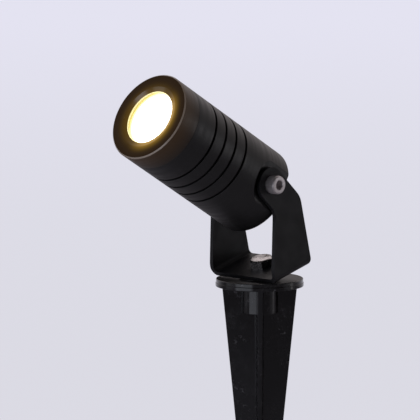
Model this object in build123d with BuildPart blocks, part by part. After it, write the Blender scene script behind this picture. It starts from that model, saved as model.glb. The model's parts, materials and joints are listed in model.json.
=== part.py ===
from math import cos, pi, radians, sin
import os

from build123d import *

# Garden spike spotlight: a turned lamp head, held by a folded yoke on a ground spike.
# Millimetres. +Z is up and the lamp faces -Y. The origin is the centre of the flange's
# underside, where the spike goes into the soil.

# ---------------------------------------------------------------- driving dimensions

# ground spike
flange_diameter = 41.2
flange_thickness = 3.5
flange_edge_round = 0.4
boss_diameter = 17.6
boss_depth = 12.6
spike_length = 166.0
fin_yaw = 45.0                 # turn of the first fin from straight ahead
fin_reach = 17.5               # from the axis, at the flange
fin_edge = 2.3                 # thickness of a fin at its outer edge
fin_root = 4.4                 # thickness of a fin at the axis
tip_reach = 1.1
tip_edge = 1.0
tip_root = 1.6

# swivel seat, a slanted plug that turns in the spike
seat_diameter = 18.8
seat_sink = 2.4                # depth of the seat's shoulder in the flange
stem_diameter = 12.8
stem_length = 10.4
stem_end_round = 0.6
swivel_clearance = 0.1
stem_end_gap = 0.5
o_ring_thickness = 1.3
o_ring_squeeze_gap = 0.03
stem_o_ring_below = 2.6        # under the shoulder
snap_ring_below = 6.6
snap_ring_thickness = 1.0
snap_ring_width = 1.5
snap_ring_seat = 0.9           # how deep the ring sits in the stem
snap_ring_opening = 50.0       # degrees
groove_clearance = 0.1

# folded yoke
sheet = 2.0
ear_sink = 2.1                 # of each ear's inner face, inside the lamp head's outline
bend_inner = 2.0
yoke_lean = 15.7               # of the yoke's floor, down towards the front
bolt_back = 2.3                # bolt axis behind the spike's axis, at the floor's underside
floor_height = 3.7             # of the floor's underside above the flange, at the bolt
floor_front = 12.6             # from the bolt
floor_back = 11.5
leg_front = 13.4               # the legs are a little wider than the floor
leg_front_rise = 5.0
knee_front = 32.4
knee_back = 33.8
knee_round = 2.2
arm_lean = 31.5                # of the upper arm, forwards from square to the floor
arm_radius = 7.8
pivot_forward = 4.0            # pivot from the bolt axis, along the floor
pivot_height = 46.0            # square to the floor

# fasteners
m6_diameter = 6.0
m6_across_flats = 10.0
m6_face_diameter = 9.4         # flat top inside the corner chamfer
m6_head = 4.0
m6_length = 8.0
m6_edge = 0.4
m6_corner_slope = 0.5          # drop of the hex head's corner chamfer for its width
bolt_turn = -15.0              # of the hex head
m5_diameter = 5.0
m5_head_diameter = 8.5
m5_head = 5.0
m5_socket = 4.0                # across flats
m5_socket_depth = 2.6
m5_length = 10.0
m5_edge = 0.4
tap_run_out = 0.5              # drilled past a screw's end
thread_gap = 0.04              # all round a screw in its thread
bolt_hole_gap = 0.25
pivot_hole_gap = 0.08

# lamp head, depths are from the front face
head_pitch = 30.3
head_diameter = 42.0
head_length = 77.9
pivot_depth = 67.1
rear_round = 0.8
groove_first = 22.8
groove_pitch = 7.4
groove_count = 4
groove_width = 1.3
groove_depth = 1.2
groove_cut_spare = 1.0         # that a groove's cut starts outside the barrel
washer_diameter = 12.6
washer_thickness = 0.5
washer_play = 0.05             # to each ear
recess_radius = 10.6           # milled flat round each pivot, open to the rear

# bezel and front glass
bezel_length = 10.4
housing_wall = 1.8             # outside the bezel's thread
bezel_thread_length = 8.0
bezel_thread_wall = 2.15       # inside it
bezel_thread_gap = 0.05
bezel_thread_run_out = 0.5
bezel_edge = 0.6
mouth_diameter = 30.0
window_diameter = 25.4
countersink_depth = 0.8
lip_thickness = 1.2
gasket_thickness = 0.5
glass_inset = 1.2              # of the glass from the holder's outside
glass_thickness = 3.0
glass_edge = 0.3
glass_gap = 0.2                # all round the glass
bezel_ring_thickness = 1.2
bezel_ring_below = 1.0         # ring centre behind the seam
bezel_ring_groove = 1.5

# lens and its holder
holder_bore_gap = 0.15
holder_wall = 1.5
lens_inset = 3.3               # of the lens from the holder's outside
lens_rim = 1.5
lens_face_gap = 0.3
lens_rim_width = 1.2
lens_back_diameter = 10.4
lens_to_chip = 0.1
lens_well_diameter = 6.8
lens_well_depth = 4.0
lens_seat_gap = 0.1
seat_ring = 1.5                # thickness of the holder's ring under the lens rim
seat_ring_overlap = 1.0

# light engine
board_depth = 18.5             # front face of the LED board
board_inset = 0.5              # of the LED board from the holder's outside
board_thickness = 1.6
chip_side = 7.0
chip_base = 0.8
chip_dome = 2.5                # radius
pad_thickness = 0.5
heat_plate_thickness = 4.0
plate_bore_gap = 0.05
m2_diameter = 2.0
m2_head_diameter = 3.8
m2_head = 1.3
m2_length = 5.0
m2_slot = 0.5
led_screw_inset = 5.4          # of the LED board's screws from the holder's outside
led_screw_count = 2
lead_inset = 2.0               # of the leads from the driver's bore
lead_count = 2
lead_spread = 60.0             # degrees between the two leads
lead_core = 0.9                # diameter
lead_sleeve = 1.6
lead_tail = 0.7                # past each board
lead_hole_gap = 0.05

# driver
plate_ledge = 1.85             # that the heat plate rests on
driver_bore_end = 56.0
standoff_length = 6.0
standoff_across_flats = 4.5
standoff_stud = 2.6
standoff_inset = 4.2           # of the standoffs from the driver's bore
standoff_count = 3
driver_board_gap = 0.4
transformer_height = 9.0
transformer_length = 9.5
transformer_rise = 1.0
transformer_gap = 0.8          # to the terminal
transformer_flange = 1.2
capacitor_diameter = 6.3
capacitor_height = 11.0
capacitor_inset = 5.8          # of its middle from the driver's bore
capacitor_edge = 0.5
rectifier_size = (4.6, 6.0, 2.6)
rectifier_inset = 6.2          # of its middle from the driver's bore
terminal_size = (6.0, 7.0, 8.0)
terminal_inset = 6.4           # of its middle from the driver's bore
side_part_rise = 4.0           # of the rectifier and the terminal, from the middle
terminal_hole = 2.2
terminal_hole_depth = 5.0
terminal_hole_pitch = 3.4

# cable gland
gland_thread_diameter = 11.8
gland_thread_length = 8.0
gland_hole_spare = 1.0
gland_passage = 8.4
gland_washer_diameter = 15.2
gland_washer = 0.8
gland_across_flats = 14.0
gland_hex = 2.7
gland_neck_diameter = 9.8
gland_neck = 4.0
gland_inside = 6.2
gland_seal_diameter = 7.8
gland_seal_length = 6.2
gland_seal_sink = 1.0          # how far the seal starts inside the hex
gland_seal_bore = 4.4
gland_nut_diameter = 13.8
gland_nut_length = 7.0
gland_nut_straight = 4.6
gland_nut_nose = 9.4
gland_nut_mouth = 6.4
gland_gap = 0.05

# ---------------------------------------------------------------- frames and derived sizes

lean = radians(yoke_lean)
forward = Vector(0, -cos(lean), -sin(lean))
upward = Vector(0, -sin(lean), cos(lean))
bolt_point = Vector(0, bolt_back, flange_thickness + floor_height)
yoke_floor = Plane(origin=bolt_point, x_dir=(1, 0, 0), z_dir=upward)
yoke_front = Plane(origin=bolt_point, x_dir=(1, 0, 0), z_dir=forward)
yoke_side = Plane(origin=bolt_point, x_dir=forward, z_dir=(-1, 0, 0))
pivot = bolt_point + forward * pivot_forward + upward * pivot_height

pitch = radians(head_pitch)
aim = Vector(0, -cos(pitch), sin(pitch))
head_axis = Axis(pivot, aim)
head = Plane(origin=pivot, x_dir=(1, 0, 0), z_dir=aim)
head_section = Plane(origin=pivot, x_dir=(1, 0, 0), z_dir=(0, -sin(pitch), -cos(pitch)))

outer_radius = head_diameter / 2
ear_gap = head_diameter - 2 * ear_sink
ear_outer = ear_gap / 2 + sheet
bend_outer = bend_inner + sheet
washer_face = ear_gap / 2 - washer_play
recess_floor = washer_face - washer_thickness

glass_front = lip_thickness + gasket_thickness
glass_back = glass_front + glass_thickness
bezel_thread_end = bezel_length + bezel_thread_length
bezel_thread_diameter = head_diameter - 2 * housing_wall
holder_bore = bezel_thread_diameter / 2 - bezel_thread_wall
holder_diameter = 2 * (holder_bore - holder_bore_gap)
glass_diameter = holder_diameter - 2 * glass_inset
lens_diameter = holder_diameter - 2 * lens_inset
lens_body_diameter = lens_diameter - 2 * lens_rim_width
led_board_diameter = holder_diameter - 2 * board_inset
led_screw_circle = holder_diameter - 2 * led_screw_inset
driver_bore = 2 * (holder_bore - plate_ledge)
lead_circle = driver_bore - 2 * lead_inset
standoff_circle = driver_bore - 2 * standoff_inset
capacitor_place = (0, capacitor_inset - driver_bore / 2)
rectifier_place = (driver_bore / 2 - rectifier_inset, side_part_rise)
terminal_place = (terminal_inset - driver_bore / 2, side_part_rise)
transformer_place = (0, transformer_rise)
transformer_width = 2 * (-terminal_place[0] - terminal_size[0] / 2 - transformer_gap)
lens_front = glass_back + lens_face_gap
lens_seat = lens_front + lens_rim
lens_back = board_depth - chip_base - lens_to_chip
board_back = board_depth + board_thickness
plate_front = board_back + pad_thickness
plate_back = plate_front + heat_plate_thickness
driver_front = plate_back + standoff_length
driver_back = driver_front + board_thickness
gland_hex_start = head_length + gland_washer
gland_hex_end = gland_hex_start + gland_hex
gland_seal_start = gland_hex_end - gland_seal_sink
gland_nut_end = gland_hex_end + gland_nut_length


def at_depth(depth):
    """The plane across the lamp head at a depth behind its front face, facing forward."""
    return head.offset(pivot_depth - depth)


def facing_back(depth):
    """The same plane seen from behind, so that an extrusion grows to the rear."""
    return Plane(origin=pivot + aim * (pivot_depth - depth), x_dir=(1, 0, 0), z_dir=-aim)


def pivot_plane(side, distance):
    """The plane square to the pivot axis at a distance from the middle, facing outward.

    Its X runs along the lamp's axis, to the rear.
    """
    return Plane(origin=(side * distance, pivot.Y, pivot.Z), x_dir=-aim, z_dir=(side, 0, 0))


def ring(inner, outer, start, end, mode=Mode.ADD):
    """Turn a ring about the lamp's axis, from one depth to another, in the open part."""
    with BuildSketch(head_section) as profile:
        with Locations(((inner + outer) / 2, pivot_depth - (start + end) / 2)):
            Rectangle(outer - inner, end - start)
    revolve(profile.sketch, axis=head_axis, mode=mode)


def cone(points, mode=Mode.ADD):
    """Turn a closed outline of (radius, depth) points about the lamp's axis."""
    with BuildSketch(head_section) as profile:
        with BuildLine():
            Polyline([(radius, pivot_depth - depth) for radius, depth in points], close=True)
        make_face()
    revolve(profile.sketch, axis=head_axis, mode=mode)


def fin_section(height, reach, edge, root):
    """The spike's four-finned cross section at a height, as a sketch."""
    yaw = radians(fin_yaw)
    level = Plane(origin=(0, 0, height), x_dir=(sin(yaw), -cos(yaw), 0), z_dir=(0, 0, 1))
    quarter = [(reach, -edge / 2), (reach, edge / 2), (root / 2, root / 2)]
    corners = [Vector(x, y).rotate(Axis.Z, 90 * turn) for turn in range(4) for x, y in quarter]
    with BuildSketch(level) as section:
        with BuildLine():
            Polyline(corners, close=True)
        make_face()
    return section.sketch


# ---------------------------------------------------------------- ground spike

stem_radius = stem_diameter / 2
swivel_bore = stem_radius + swivel_clearance
shoulder_height = flange_thickness - seat_sink
ring_top = shoulder_height - snap_ring_below
ring_outer = stem_radius - snap_ring_seat + snap_ring_width

with BuildPart() as spike:
    with BuildSketch(Plane.XY):
        Circle(flange_diameter / 2)
    extrude(amount=flange_thickness)
    fillet(spike.edges(), flange_edge_round)
    with BuildSketch(Plane.XY):
        Circle(boss_diameter / 2)
    extrude(amount=-boss_depth)
    upper = fin_section(0, fin_reach, fin_edge, fin_root)
    lower = fin_section(-spike_length, tip_reach, tip_edge, tip_root)
    loft([upper, lower], ruled=True)
    with BuildSketch(Plane.XY.offset(shoulder_height)):
        Circle(seat_diameter / 2 + swivel_clearance)
    extrude(amount=seat_sink, mode=Mode.SUBTRACT)
    with BuildSketch(Plane.XY.offset(shoulder_height)):
        Circle(swivel_bore)
    extrude(amount=-(stem_length + stem_end_gap), mode=Mode.SUBTRACT)
    with BuildSketch(Plane.XY.offset(ring_top + groove_clearance)):
        Circle(ring_outer + groove_clearance)
    extrude(amount=-(snap_ring_thickness + 2 * groove_clearance), mode=Mode.SUBTRACT)
spike.part.label = "spike"

# ---------------------------------------------------------------- swivel seat and its rings

o_ring_path = swivel_bore - o_ring_squeeze_gap - o_ring_thickness / 2
o_ring_floor = o_ring_path - o_ring_thickness / 2
o_ring_height = shoulder_height - stem_o_ring_below
tapped_depth = m6_length - sheet + tap_run_out

with BuildPart() as swivel_seat:
    with BuildSketch(Plane.XY.offset(shoulder_height)):
        Circle(seat_diameter / 2)
    extrude(amount=seat_sink + 2 * floor_height)
    split(bisect_by=yoke_floor, keep=Keep.BOTTOM)
    with BuildSketch(Plane.XY.offset(shoulder_height)):
        Circle(stem_radius)
    extrude(amount=-stem_length)
    chamfer(swivel_seat.faces().sort_by(Axis.Z)[0].edges(), stem_end_round)
    with BuildSketch(Plane.XY.offset(o_ring_height - o_ring_thickness / 2 - groove_clearance)):
        Circle(stem_radius)
        Circle(o_ring_floor, mode=Mode.SUBTRACT)
    extrude(amount=o_ring_thickness + 2 * groove_clearance, mode=Mode.SUBTRACT)
    with BuildSketch(Plane.XY.offset(ring_top - snap_ring_thickness)):
        Circle(stem_radius)
        Circle(stem_radius - snap_ring_seat, mode=Mode.SUBTRACT)
    extrude(amount=snap_ring_thickness, mode=Mode.SUBTRACT)
    with BuildSketch(yoke_floor):
        Circle(m6_diameter / 2 + thread_gap)
    extrude(amount=-tapped_depth, mode=Mode.SUBTRACT)
swivel_seat.part.label = "swivel_seat"

with BuildPart() as swivel_o_ring:
    with BuildSketch(Plane.XZ):
        with Locations((o_ring_path, o_ring_height)):
            Circle(o_ring_thickness / 2)
    revolve(axis=Axis.Z)
swivel_o_ring.part.label = "swivel_o_ring"

with BuildPart() as swivel_snap_ring:
    with BuildSketch(Plane.XZ):
        with Locations((ring_outer - snap_ring_width / 2, ring_top - snap_ring_thickness / 2)):
            Rectangle(snap_ring_width, snap_ring_thickness)
    revolve(axis=Axis.Z, revolution_arc=360 - snap_ring_opening)
swivel_snap_ring.part.label = "swivel_snap_ring"

# ---------------------------------------------------------------- yoke and its bolt

arm_along = Vector(sin(radians(arm_lean)), cos(radians(arm_lean)))
arm_across = Vector(arm_along.Y, -arm_along.X)
pivot_on_side = Vector(pivot_forward, pivot_height)
arm_front = pivot_on_side + arm_across * arm_radius
arm_back = pivot_on_side - arm_across * arm_radius
elbow = arm_front - arm_along * ((arm_front.Y - knee_front) / arm_along.Y)
heel = arm_back - arm_along * ((arm_back.Y - knee_back) / arm_along.Y)
yoke_top = pivot_height + 2 * arm_radius

with BuildPart() as yoke_bracket:
    with BuildSketch(yoke_front):
        with BuildLine():
            outside = FilletPolyline(
                (-ear_outer, yoke_top), (-ear_outer, 0), (ear_outer, 0), (ear_outer, yoke_top),
                radius=bend_outer,
            )
            inside = FilletPolyline(
                (-ear_gap / 2, yoke_top), (-ear_gap / 2, sheet),
                (ear_gap / 2, sheet), (ear_gap / 2, yoke_top),
                radius=bend_inner,
            )
            Line(outside @ 0, inside @ 0)
            Line(outside @ 1, inside @ 1)
        make_face()
    extrude(amount=yoke_top, both=True)
    with BuildSketch(yoke_side) as outline:
        with BuildLine():
            Polyline(
                (floor_front, 0), (leg_front, leg_front_rise), elbow, arm_front,
                arm_back, heel, (-floor_back, 0), close=True,
            )
        make_face()
        fillet(outline.vertices().sort_by(Axis.X)[0], knee_round)
        with Locations(pivot_on_side):
            Circle(arm_radius)
            Circle(m5_diameter / 2 + pivot_hole_gap, mode=Mode.SUBTRACT)
    extrude(amount=ear_gap, both=True, mode=Mode.INTERSECT)
    with BuildSketch(yoke_floor):
        Circle(m6_diameter / 2 + bolt_hole_gap)
    extrude(amount=sheet, mode=Mode.SUBTRACT)
yoke_bracket.part.label = "yoke_bracket"

bolt_axis = Axis(bolt_point, upward)
m6_corner = m6_across_flats / 2 / cos(pi / 6)
m6_shoulder = sheet + m6_head - (m6_corner - m6_face_diameter / 2) * m6_corner_slope

with BuildPart() as yoke_bolt:
    with BuildSketch(yoke_floor.offset(sheet)):
        RegularPolygon(m6_across_flats / 2, 6, major_radius=False, rotation=bolt_turn)
    extrude(amount=m6_head)
    with BuildSketch(yoke_front):
        with BuildLine():
            Polyline(
                (0, sheet), (m6_corner, sheet), (m6_corner, m6_shoulder),
                (m6_face_diameter / 2, sheet + m6_head), (0, sheet + m6_head), close=True,
            )
        make_face()
    revolve(axis=bolt_axis, mode=Mode.INTERSECT)
    with BuildSketch(yoke_floor.offset(sheet)):
        Circle(m6_diameter / 2)
    extrude(amount=-m6_length)
    chamfer(yoke_bolt.faces().sort_by(bolt_axis)[0].edges(), m6_edge)
yoke_bolt.part.label = "yoke_bolt"

# ---------------------------------------------------------------- lamp head housing

with BuildPart() as barrel:
    with BuildSketch(at_depth(head_length)):
        Circle(outer_radius)
    extrude(amount=head_length - bezel_length)
    fillet(barrel.faces().sort_by(head_axis)[0].edges(), rear_round)
    thread_bore = bezel_thread_diameter / 2 + bezel_thread_gap
    ring(0, thread_bore, bezel_length, bezel_thread_end + bezel_thread_run_out, Mode.SUBTRACT)
    ring(0, holder_bore, bezel_length, plate_back, Mode.SUBTRACT)
    ring(0, driver_bore / 2, bezel_length, driver_bore_end, Mode.SUBTRACT)
    ring(0, gland_passage / 2, bezel_length, head_length, Mode.SUBTRACT)
    gland_hole_start = head_length - gland_thread_length - gland_hole_spare
    gland_hole = gland_thread_diameter / 2 + thread_gap
    ring(0, gland_hole, gland_hole_start, head_length, Mode.SUBTRACT)
    for index in range(groove_count):
        middle = groove_first + index * groove_pitch
        start = middle - groove_width / 2
        clear = outer_radius + groove_cut_spare
        ring(outer_radius - groove_depth, clear, start, start + groove_width, Mode.SUBTRACT)
    for side in (-1, 1):
        with BuildSketch(pivot_plane(side, recess_floor)):
            Circle(recess_radius)
            Rectangle(head_length, 2 * recess_radius, align=(Align.MIN, Align.CENTER))
        extrude(amount=outer_radius, mode=Mode.SUBTRACT)
        with BuildSketch(pivot_plane(side, recess_floor)):
            Circle(m5_diameter / 2 + thread_gap)
        tapped = m5_length - sheet - washer_play - washer_thickness + tap_run_out
        extrude(amount=-tapped, mode=Mode.SUBTRACT)
barrel.part.label = "barrel"

with BuildPart() as pivot_washers:
    for side in (-1, 1):
        with BuildSketch(pivot_plane(side, recess_floor)):
            Circle(washer_diameter / 2)
            Circle(m5_diameter / 2 + thread_gap, mode=Mode.SUBTRACT)
        extrude(amount=washer_thickness)
pivot_washers.part.label = "pivot_washers"

with BuildPart() as pivot_screws:
    for side in (-1, 1):
        with BuildSketch(pivot_plane(side, ear_outer)):
            Circle(m5_head_diameter / 2)
        extrude(amount=m5_head)
        rim = pivot_screws.faces().sort_by(Axis.X)[-1 if side > 0 else 0].edges()
        chamfer(rim, m5_edge)
        with BuildSketch(pivot_plane(side, ear_outer + m5_head)):
            RegularPolygon(m5_socket / 2, 6, major_radius=False)
        extrude(amount=-m5_socket_depth, mode=Mode.SUBTRACT)
        with BuildSketch(pivot_plane(side, ear_outer)):
            Circle(m5_diameter / 2)
        extrude(amount=-m5_length)
pivot_screws.part.label = "pivot_screws"

# ---------------------------------------------------------------- bezel, glass and seals

ring_centre = bezel_length + bezel_ring_below
ring_groove_floor = bezel_thread_diameter / 2 - bezel_ring_thickness

with BuildPart() as bezel:
    ring(window_diameter / 2, outer_radius, 0, bezel_length)
    chamfer(bezel.faces().sort_by(head_axis)[-1].edges().sort_by(SortBy.RADIUS)[-1], bezel_edge)
    ring(window_diameter / 2, bezel_thread_diameter / 2, bezel_length, bezel_thread_end)
    window = window_diameter / 2
    cone([(0, 0), (mouth_diameter / 2, 0), (window, countersink_depth), (0, countersink_depth)],
         Mode.SUBTRACT)
    ring(0, glass_diameter / 2 + glass_gap, lip_thickness, glass_back, Mode.SUBTRACT)
    ring(0, holder_bore, glass_back, bezel_thread_end, Mode.SUBTRACT)
    groove_start = ring_centre - bezel_ring_groove / 2
    groove_end = ring_centre + bezel_ring_groove / 2
    ring(ring_groove_floor, bezel_thread_diameter / 2, groove_start, groove_end, Mode.SUBTRACT)
bezel.part.label = "bezel"

with BuildPart() as bezel_o_ring:
    with BuildSketch(head_section):
        with Locations((ring_groove_floor + bezel_ring_thickness / 2, pivot_depth - ring_centre)):
            Circle(bezel_ring_thickness / 2)
    revolve(axis=head_axis)
bezel_o_ring.part.label = "bezel_o_ring"

with BuildPart() as glass_gasket:
    ring(window_diameter / 2, glass_diameter / 2, lip_thickness, glass_front)
glass_gasket.part.label = "glass_gasket"

with BuildPart() as front_glass:
    with BuildSketch(at_depth(glass_back)):
        Circle(glass_diameter / 2)
    extrude(amount=glass_thickness)
    chamfer(front_glass.edges(), glass_edge)
front_glass.part.label = "front_glass"

# ---------------------------------------------------------------- lens and its holder

with BuildPart() as lens_holder:
    ring(holder_diameter / 2 - holder_wall, holder_diameter / 2, glass_back, board_depth)
    rim_bore = lens_diameter / 2 + lens_seat_gap
    ring(rim_bore, holder_diameter / 2, glass_back, lens_seat)
    ring(rim_bore - seat_ring_overlap, holder_diameter / 2, lens_seat, lens_seat + seat_ring)
lens_holder.part.label = "lens_holder"

with BuildPart() as lens:
    cone([(0, lens_front), (lens_diameter / 2, lens_front), (lens_diameter / 2, lens_seat),
          (lens_body_diameter / 2, lens_seat), (lens_back_diameter / 2, lens_back), (0, lens_back)])
    ring(0, lens_well_diameter / 2, lens_back - lens_well_depth, lens_back, Mode.SUBTRACT)
lens.part.label = "lens"

# ---------------------------------------------------------------- light engine

lead_angles = (90 - lead_spread / 2, 90 + lead_spread / 2)

with BuildPart() as led_board:
    with BuildSketch(at_depth(board_back)):
        Circle(led_board_diameter / 2)
        with PolarLocations(led_screw_circle / 2, led_screw_count):
            Circle(m2_diameter / 2 + lead_hole_gap, mode=Mode.SUBTRACT)
        with PolarLocations(lead_circle / 2, lead_count, lead_angles[0], lead_spread, endpoint=True):
            Circle(lead_core / 2 + lead_hole_gap, mode=Mode.SUBTRACT)
    extrude(amount=board_thickness)
led_board.part.label = "led_board"

with BuildPart() as led_emitter:
    with BuildSketch(at_depth(board_depth)):
        Rectangle(chip_side, chip_side)
    extrude(amount=chip_base)
    with BuildSketch(head_section) as dome:
        with Locations((0, pivot_depth - board_depth + chip_base)):
            Circle(chip_dome)
            Rectangle(2 * chip_dome, chip_dome, align=(Align.CENTER, Align.MAX), mode=Mode.SUBTRACT)
            Rectangle(chip_dome, chip_dome, align=(Align.MAX, Align.MIN), mode=Mode.SUBTRACT)
    revolve(axis=head_axis)
led_emitter.part.label = "led_emitter"

with BuildPart() as led_board_screws:
    with BuildSketch(at_depth(board_depth)):
        with PolarLocations(led_screw_circle / 2, led_screw_count):
            Circle(m2_head_diameter / 2)
    extrude(amount=m2_head)
    with BuildSketch(at_depth(board_depth - m2_head)):
        with PolarLocations(led_screw_circle / 2, led_screw_count):
            Rectangle(m2_head_diameter, m2_slot)
    extrude(amount=-m2_slot, mode=Mode.SUBTRACT)
    with BuildSketch(at_depth(board_depth)):
        with PolarLocations(led_screw_circle / 2, led_screw_count):
            Circle(m2_diameter / 2)
    extrude(amount=-m2_length)
led_board_screws.part.label = "led_board_screws"

with BuildPart() as thermal_pad:
    with BuildSketch(at_depth(plate_front)):
        Circle(led_board_diameter / 2)
        with PolarLocations(led_screw_circle / 2, led_screw_count):
            Circle(m2_diameter / 2 + lead_hole_gap, mode=Mode.SUBTRACT)
        with PolarLocations(lead_circle / 2, lead_count, lead_angles[0], lead_spread, endpoint=True):
            Circle(lead_sleeve / 2 + lead_hole_gap, mode=Mode.SUBTRACT)
    extrude(amount=pad_thickness)
thermal_pad.part.label = "thermal_pad"

with BuildPart() as heat_plate:
    with BuildSketch(at_depth(plate_back)):
        Circle(holder_bore - plate_bore_gap)
        with PolarLocations(led_screw_circle / 2, led_screw_count):
            Circle(m2_diameter / 2 + thread_gap, mode=Mode.SUBTRACT)
        with PolarLocations(lead_circle / 2, lead_count, lead_angles[0], lead_spread, endpoint=True):
            Circle(lead_sleeve / 2 + lead_hole_gap, mode=Mode.SUBTRACT)
        with PolarLocations(standoff_circle / 2, standoff_count, 90):
            Circle(m2_diameter / 2 + thread_gap, mode=Mode.SUBTRACT)
    extrude(amount=heat_plate_thickness)
heat_plate.part.label = "heat_plate"

# ---------------------------------------------------------------- driver

with BuildPart() as driver_board:
    with BuildSketch(at_depth(driver_back)):
        Circle(driver_bore / 2 - driver_board_gap)
        with PolarLocations(standoff_circle / 2, standoff_count, 90):
            Circle(m2_diameter / 2 + lead_hole_gap, mode=Mode.SUBTRACT)
        with PolarLocations(lead_circle / 2, lead_count, lead_angles[0], lead_spread, endpoint=True):
            Circle(lead_core / 2 + lead_hole_gap, mode=Mode.SUBTRACT)
    extrude(amount=board_thickness)
driver_board.part.label = "driver_board"

with BuildPart() as driver_standoffs:
    with BuildSketch(at_depth(driver_front)):
        with PolarLocations(standoff_circle / 2, standoff_count, 90):
            RegularPolygon(standoff_across_flats / 2, 6, major_radius=False)
    extrude(amount=standoff_length)
    with BuildSketch(at_depth(plate_back)):
        with PolarLocations(standoff_circle / 2, standoff_count, 90):
            Circle(m2_diameter / 2)
    extrude(amount=standoff_stud)
    with BuildSketch(at_depth(driver_front)):
        with PolarLocations(standoff_circle / 2, standoff_count, 90):
            Circle(m2_diameter / 2 + thread_gap)
    extrude(amount=m2_length - board_thickness + tap_run_out, mode=Mode.SUBTRACT)
driver_standoffs.part.label = "driver_standoffs"

with BuildPart() as driver_screws:
    with BuildSketch(facing_back(driver_back)):
        with PolarLocations(standoff_circle / 2, standoff_count, -90):
            Circle(m2_head_diameter / 2)
    extrude(amount=m2_head)
    with BuildSketch(facing_back(driver_back + m2_head)):
        with PolarLocations(standoff_circle / 2, standoff_count, -90):
            Rectangle(m2_head_diameter, m2_slot)
    extrude(amount=-m2_slot, mode=Mode.SUBTRACT)
    with BuildSketch(facing_back(driver_back)):
        with PolarLocations(standoff_circle / 2, standoff_count, -90):
            Circle(m2_diameter / 2)
    extrude(amount=-m2_length)
driver_screws.part.label = "driver_screws"

with BuildPart() as driver_transformer:
    cheek = transformer_flange
    cheek_start = driver_back + transformer_length - cheek
    with BuildSketch(at_depth(driver_back)):
        with Locations(transformer_place):
            Rectangle(transformer_width, transformer_height)
    extrude(amount=-cheek)
    with BuildSketch(at_depth(driver_back + cheek)):
        with Locations(transformer_place):
            Rectangle(transformer_width - cheek, transformer_height - cheek)
    extrude(amount=-(transformer_length - 2 * cheek))
    with BuildSketch(at_depth(cheek_start)):
        with Locations(transformer_place):
            Rectangle(transformer_width, transformer_height)
    extrude(amount=-cheek)
driver_transformer.part.label = "driver_transformer"

with BuildPart() as driver_capacitor:
    with BuildSketch(at_depth(driver_back)):
        with Locations(capacitor_place):
            Circle(capacitor_diameter / 2)
    extrude(amount=-capacitor_height)
    fillet(driver_capacitor.faces().sort_by(head_axis)[0].edges(), capacitor_edge)
driver_capacitor.part.label = "driver_capacitor"

with BuildPart() as driver_rectifier:
    width, height, length = rectifier_size
    with BuildSketch(at_depth(driver_back)):
        with Locations(rectifier_place):
            Rectangle(width, height)
    extrude(amount=-length)
driver_rectifier.part.label = "driver_rectifier"

with BuildPart() as driver_terminal:
    width, height, length = terminal_size
    with BuildSketch(at_depth(driver_back)):
        with Locations(terminal_place):
            Rectangle(width, height)
    extrude(amount=-length)
    with BuildSketch(at_depth(driver_back + length)):
        with Locations(terminal_place):
            with GridLocations(0, terminal_hole_pitch, 1, 2):
                Circle(terminal_hole / 2)
    extrude(amount=terminal_hole_depth, mode=Mode.SUBTRACT)
driver_terminal.part.label = "driver_terminal"


def lead(angle):
    """One sleeved lead, from the driver board through the heat plate to the LED board."""
    with BuildPart() as wire:
        with BuildSketch(at_depth(driver_front)):
            with PolarLocations(lead_circle / 2, 1, angle):
                Circle(lead_sleeve / 2)
        extrude(amount=driver_front - board_back)
        with BuildSketch(at_depth(driver_back + lead_tail)):
            with PolarLocations(lead_circle / 2, 1, angle):
                Circle(lead_core / 2)
        extrude(amount=driver_back - board_depth + 2 * lead_tail)
    return wire


lead_positive = lead(lead_angles[0])
lead_positive.part.label = "lead_positive"
lead_negative = lead(lead_angles[1])
lead_negative.part.label = "lead_negative"

# ---------------------------------------------------------------- cable gland

with BuildPart() as gland_washer_ring:
    ring(gland_thread_diameter / 2 + gland_gap, gland_washer_diameter / 2, head_length, gland_hex_start)
gland_washer_ring.part.label = "gland_washer"

with BuildPart() as gland_body:
    with BuildSketch(at_depth(gland_hex_end)):
        RegularPolygon(gland_across_flats / 2, 6, major_radius=False)
    extrude(amount=gland_hex)
    ring(0, gland_thread_diameter / 2, head_length - gland_thread_length, gland_hex_start)
    ring(0, gland_neck_diameter / 2, gland_hex_end, gland_hex_end + gland_neck)
    ring(0, gland_inside / 2, head_length - gland_thread_length, gland_hex_end, Mode.SUBTRACT)
    pocket = gland_seal_diameter / 2 + gland_gap
    ring(0, pocket, gland_seal_start, gland_hex_end + gland_neck, Mode.SUBTRACT)
gland_body.part.label = "gland_body"

with BuildPart() as gland_seal:
    ring(gland_seal_bore / 2, gland_seal_diameter / 2, gland_seal_start,
         gland_seal_start + gland_seal_length)
gland_seal.part.label = "gland_seal"

with BuildPart() as gland_nut:
    bore = gland_neck_diameter / 2 + gland_gap
    nose = gland_hex_end + gland_nut_straight
    cone([(bore, gland_hex_end), (gland_nut_diameter / 2, gland_hex_end),
          (gland_nut_diameter / 2, nose), (gland_nut_nose / 2, gland_nut_end),
          (gland_nut_mouth / 2, gland_nut_end), (bore, nose + gland_gap)])
gland_nut.part.label = "gland_nut"

# ---------------------------------------------------------------- export

pieces = [
    spike, swivel_seat, swivel_o_ring, swivel_snap_ring, yoke_bracket, yoke_bolt,
    barrel, pivot_washers, pivot_screws, bezel, bezel_o_ring, glass_gasket, front_glass,
    lens_holder, lens, led_board, led_emitter, led_board_screws, thermal_pad, heat_plate,
    driver_board, driver_standoffs, driver_screws, driver_transformer, driver_capacitor,
    driver_rectifier, driver_terminal, lead_positive, lead_negative,
    gland_washer_ring, gland_body, gland_seal, gland_nut,
]

os.makedirs("parts", exist_ok=True)
for piece in pieces:
    export_step(piece.part, f"parts/{piece.part.label}.step")
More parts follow.
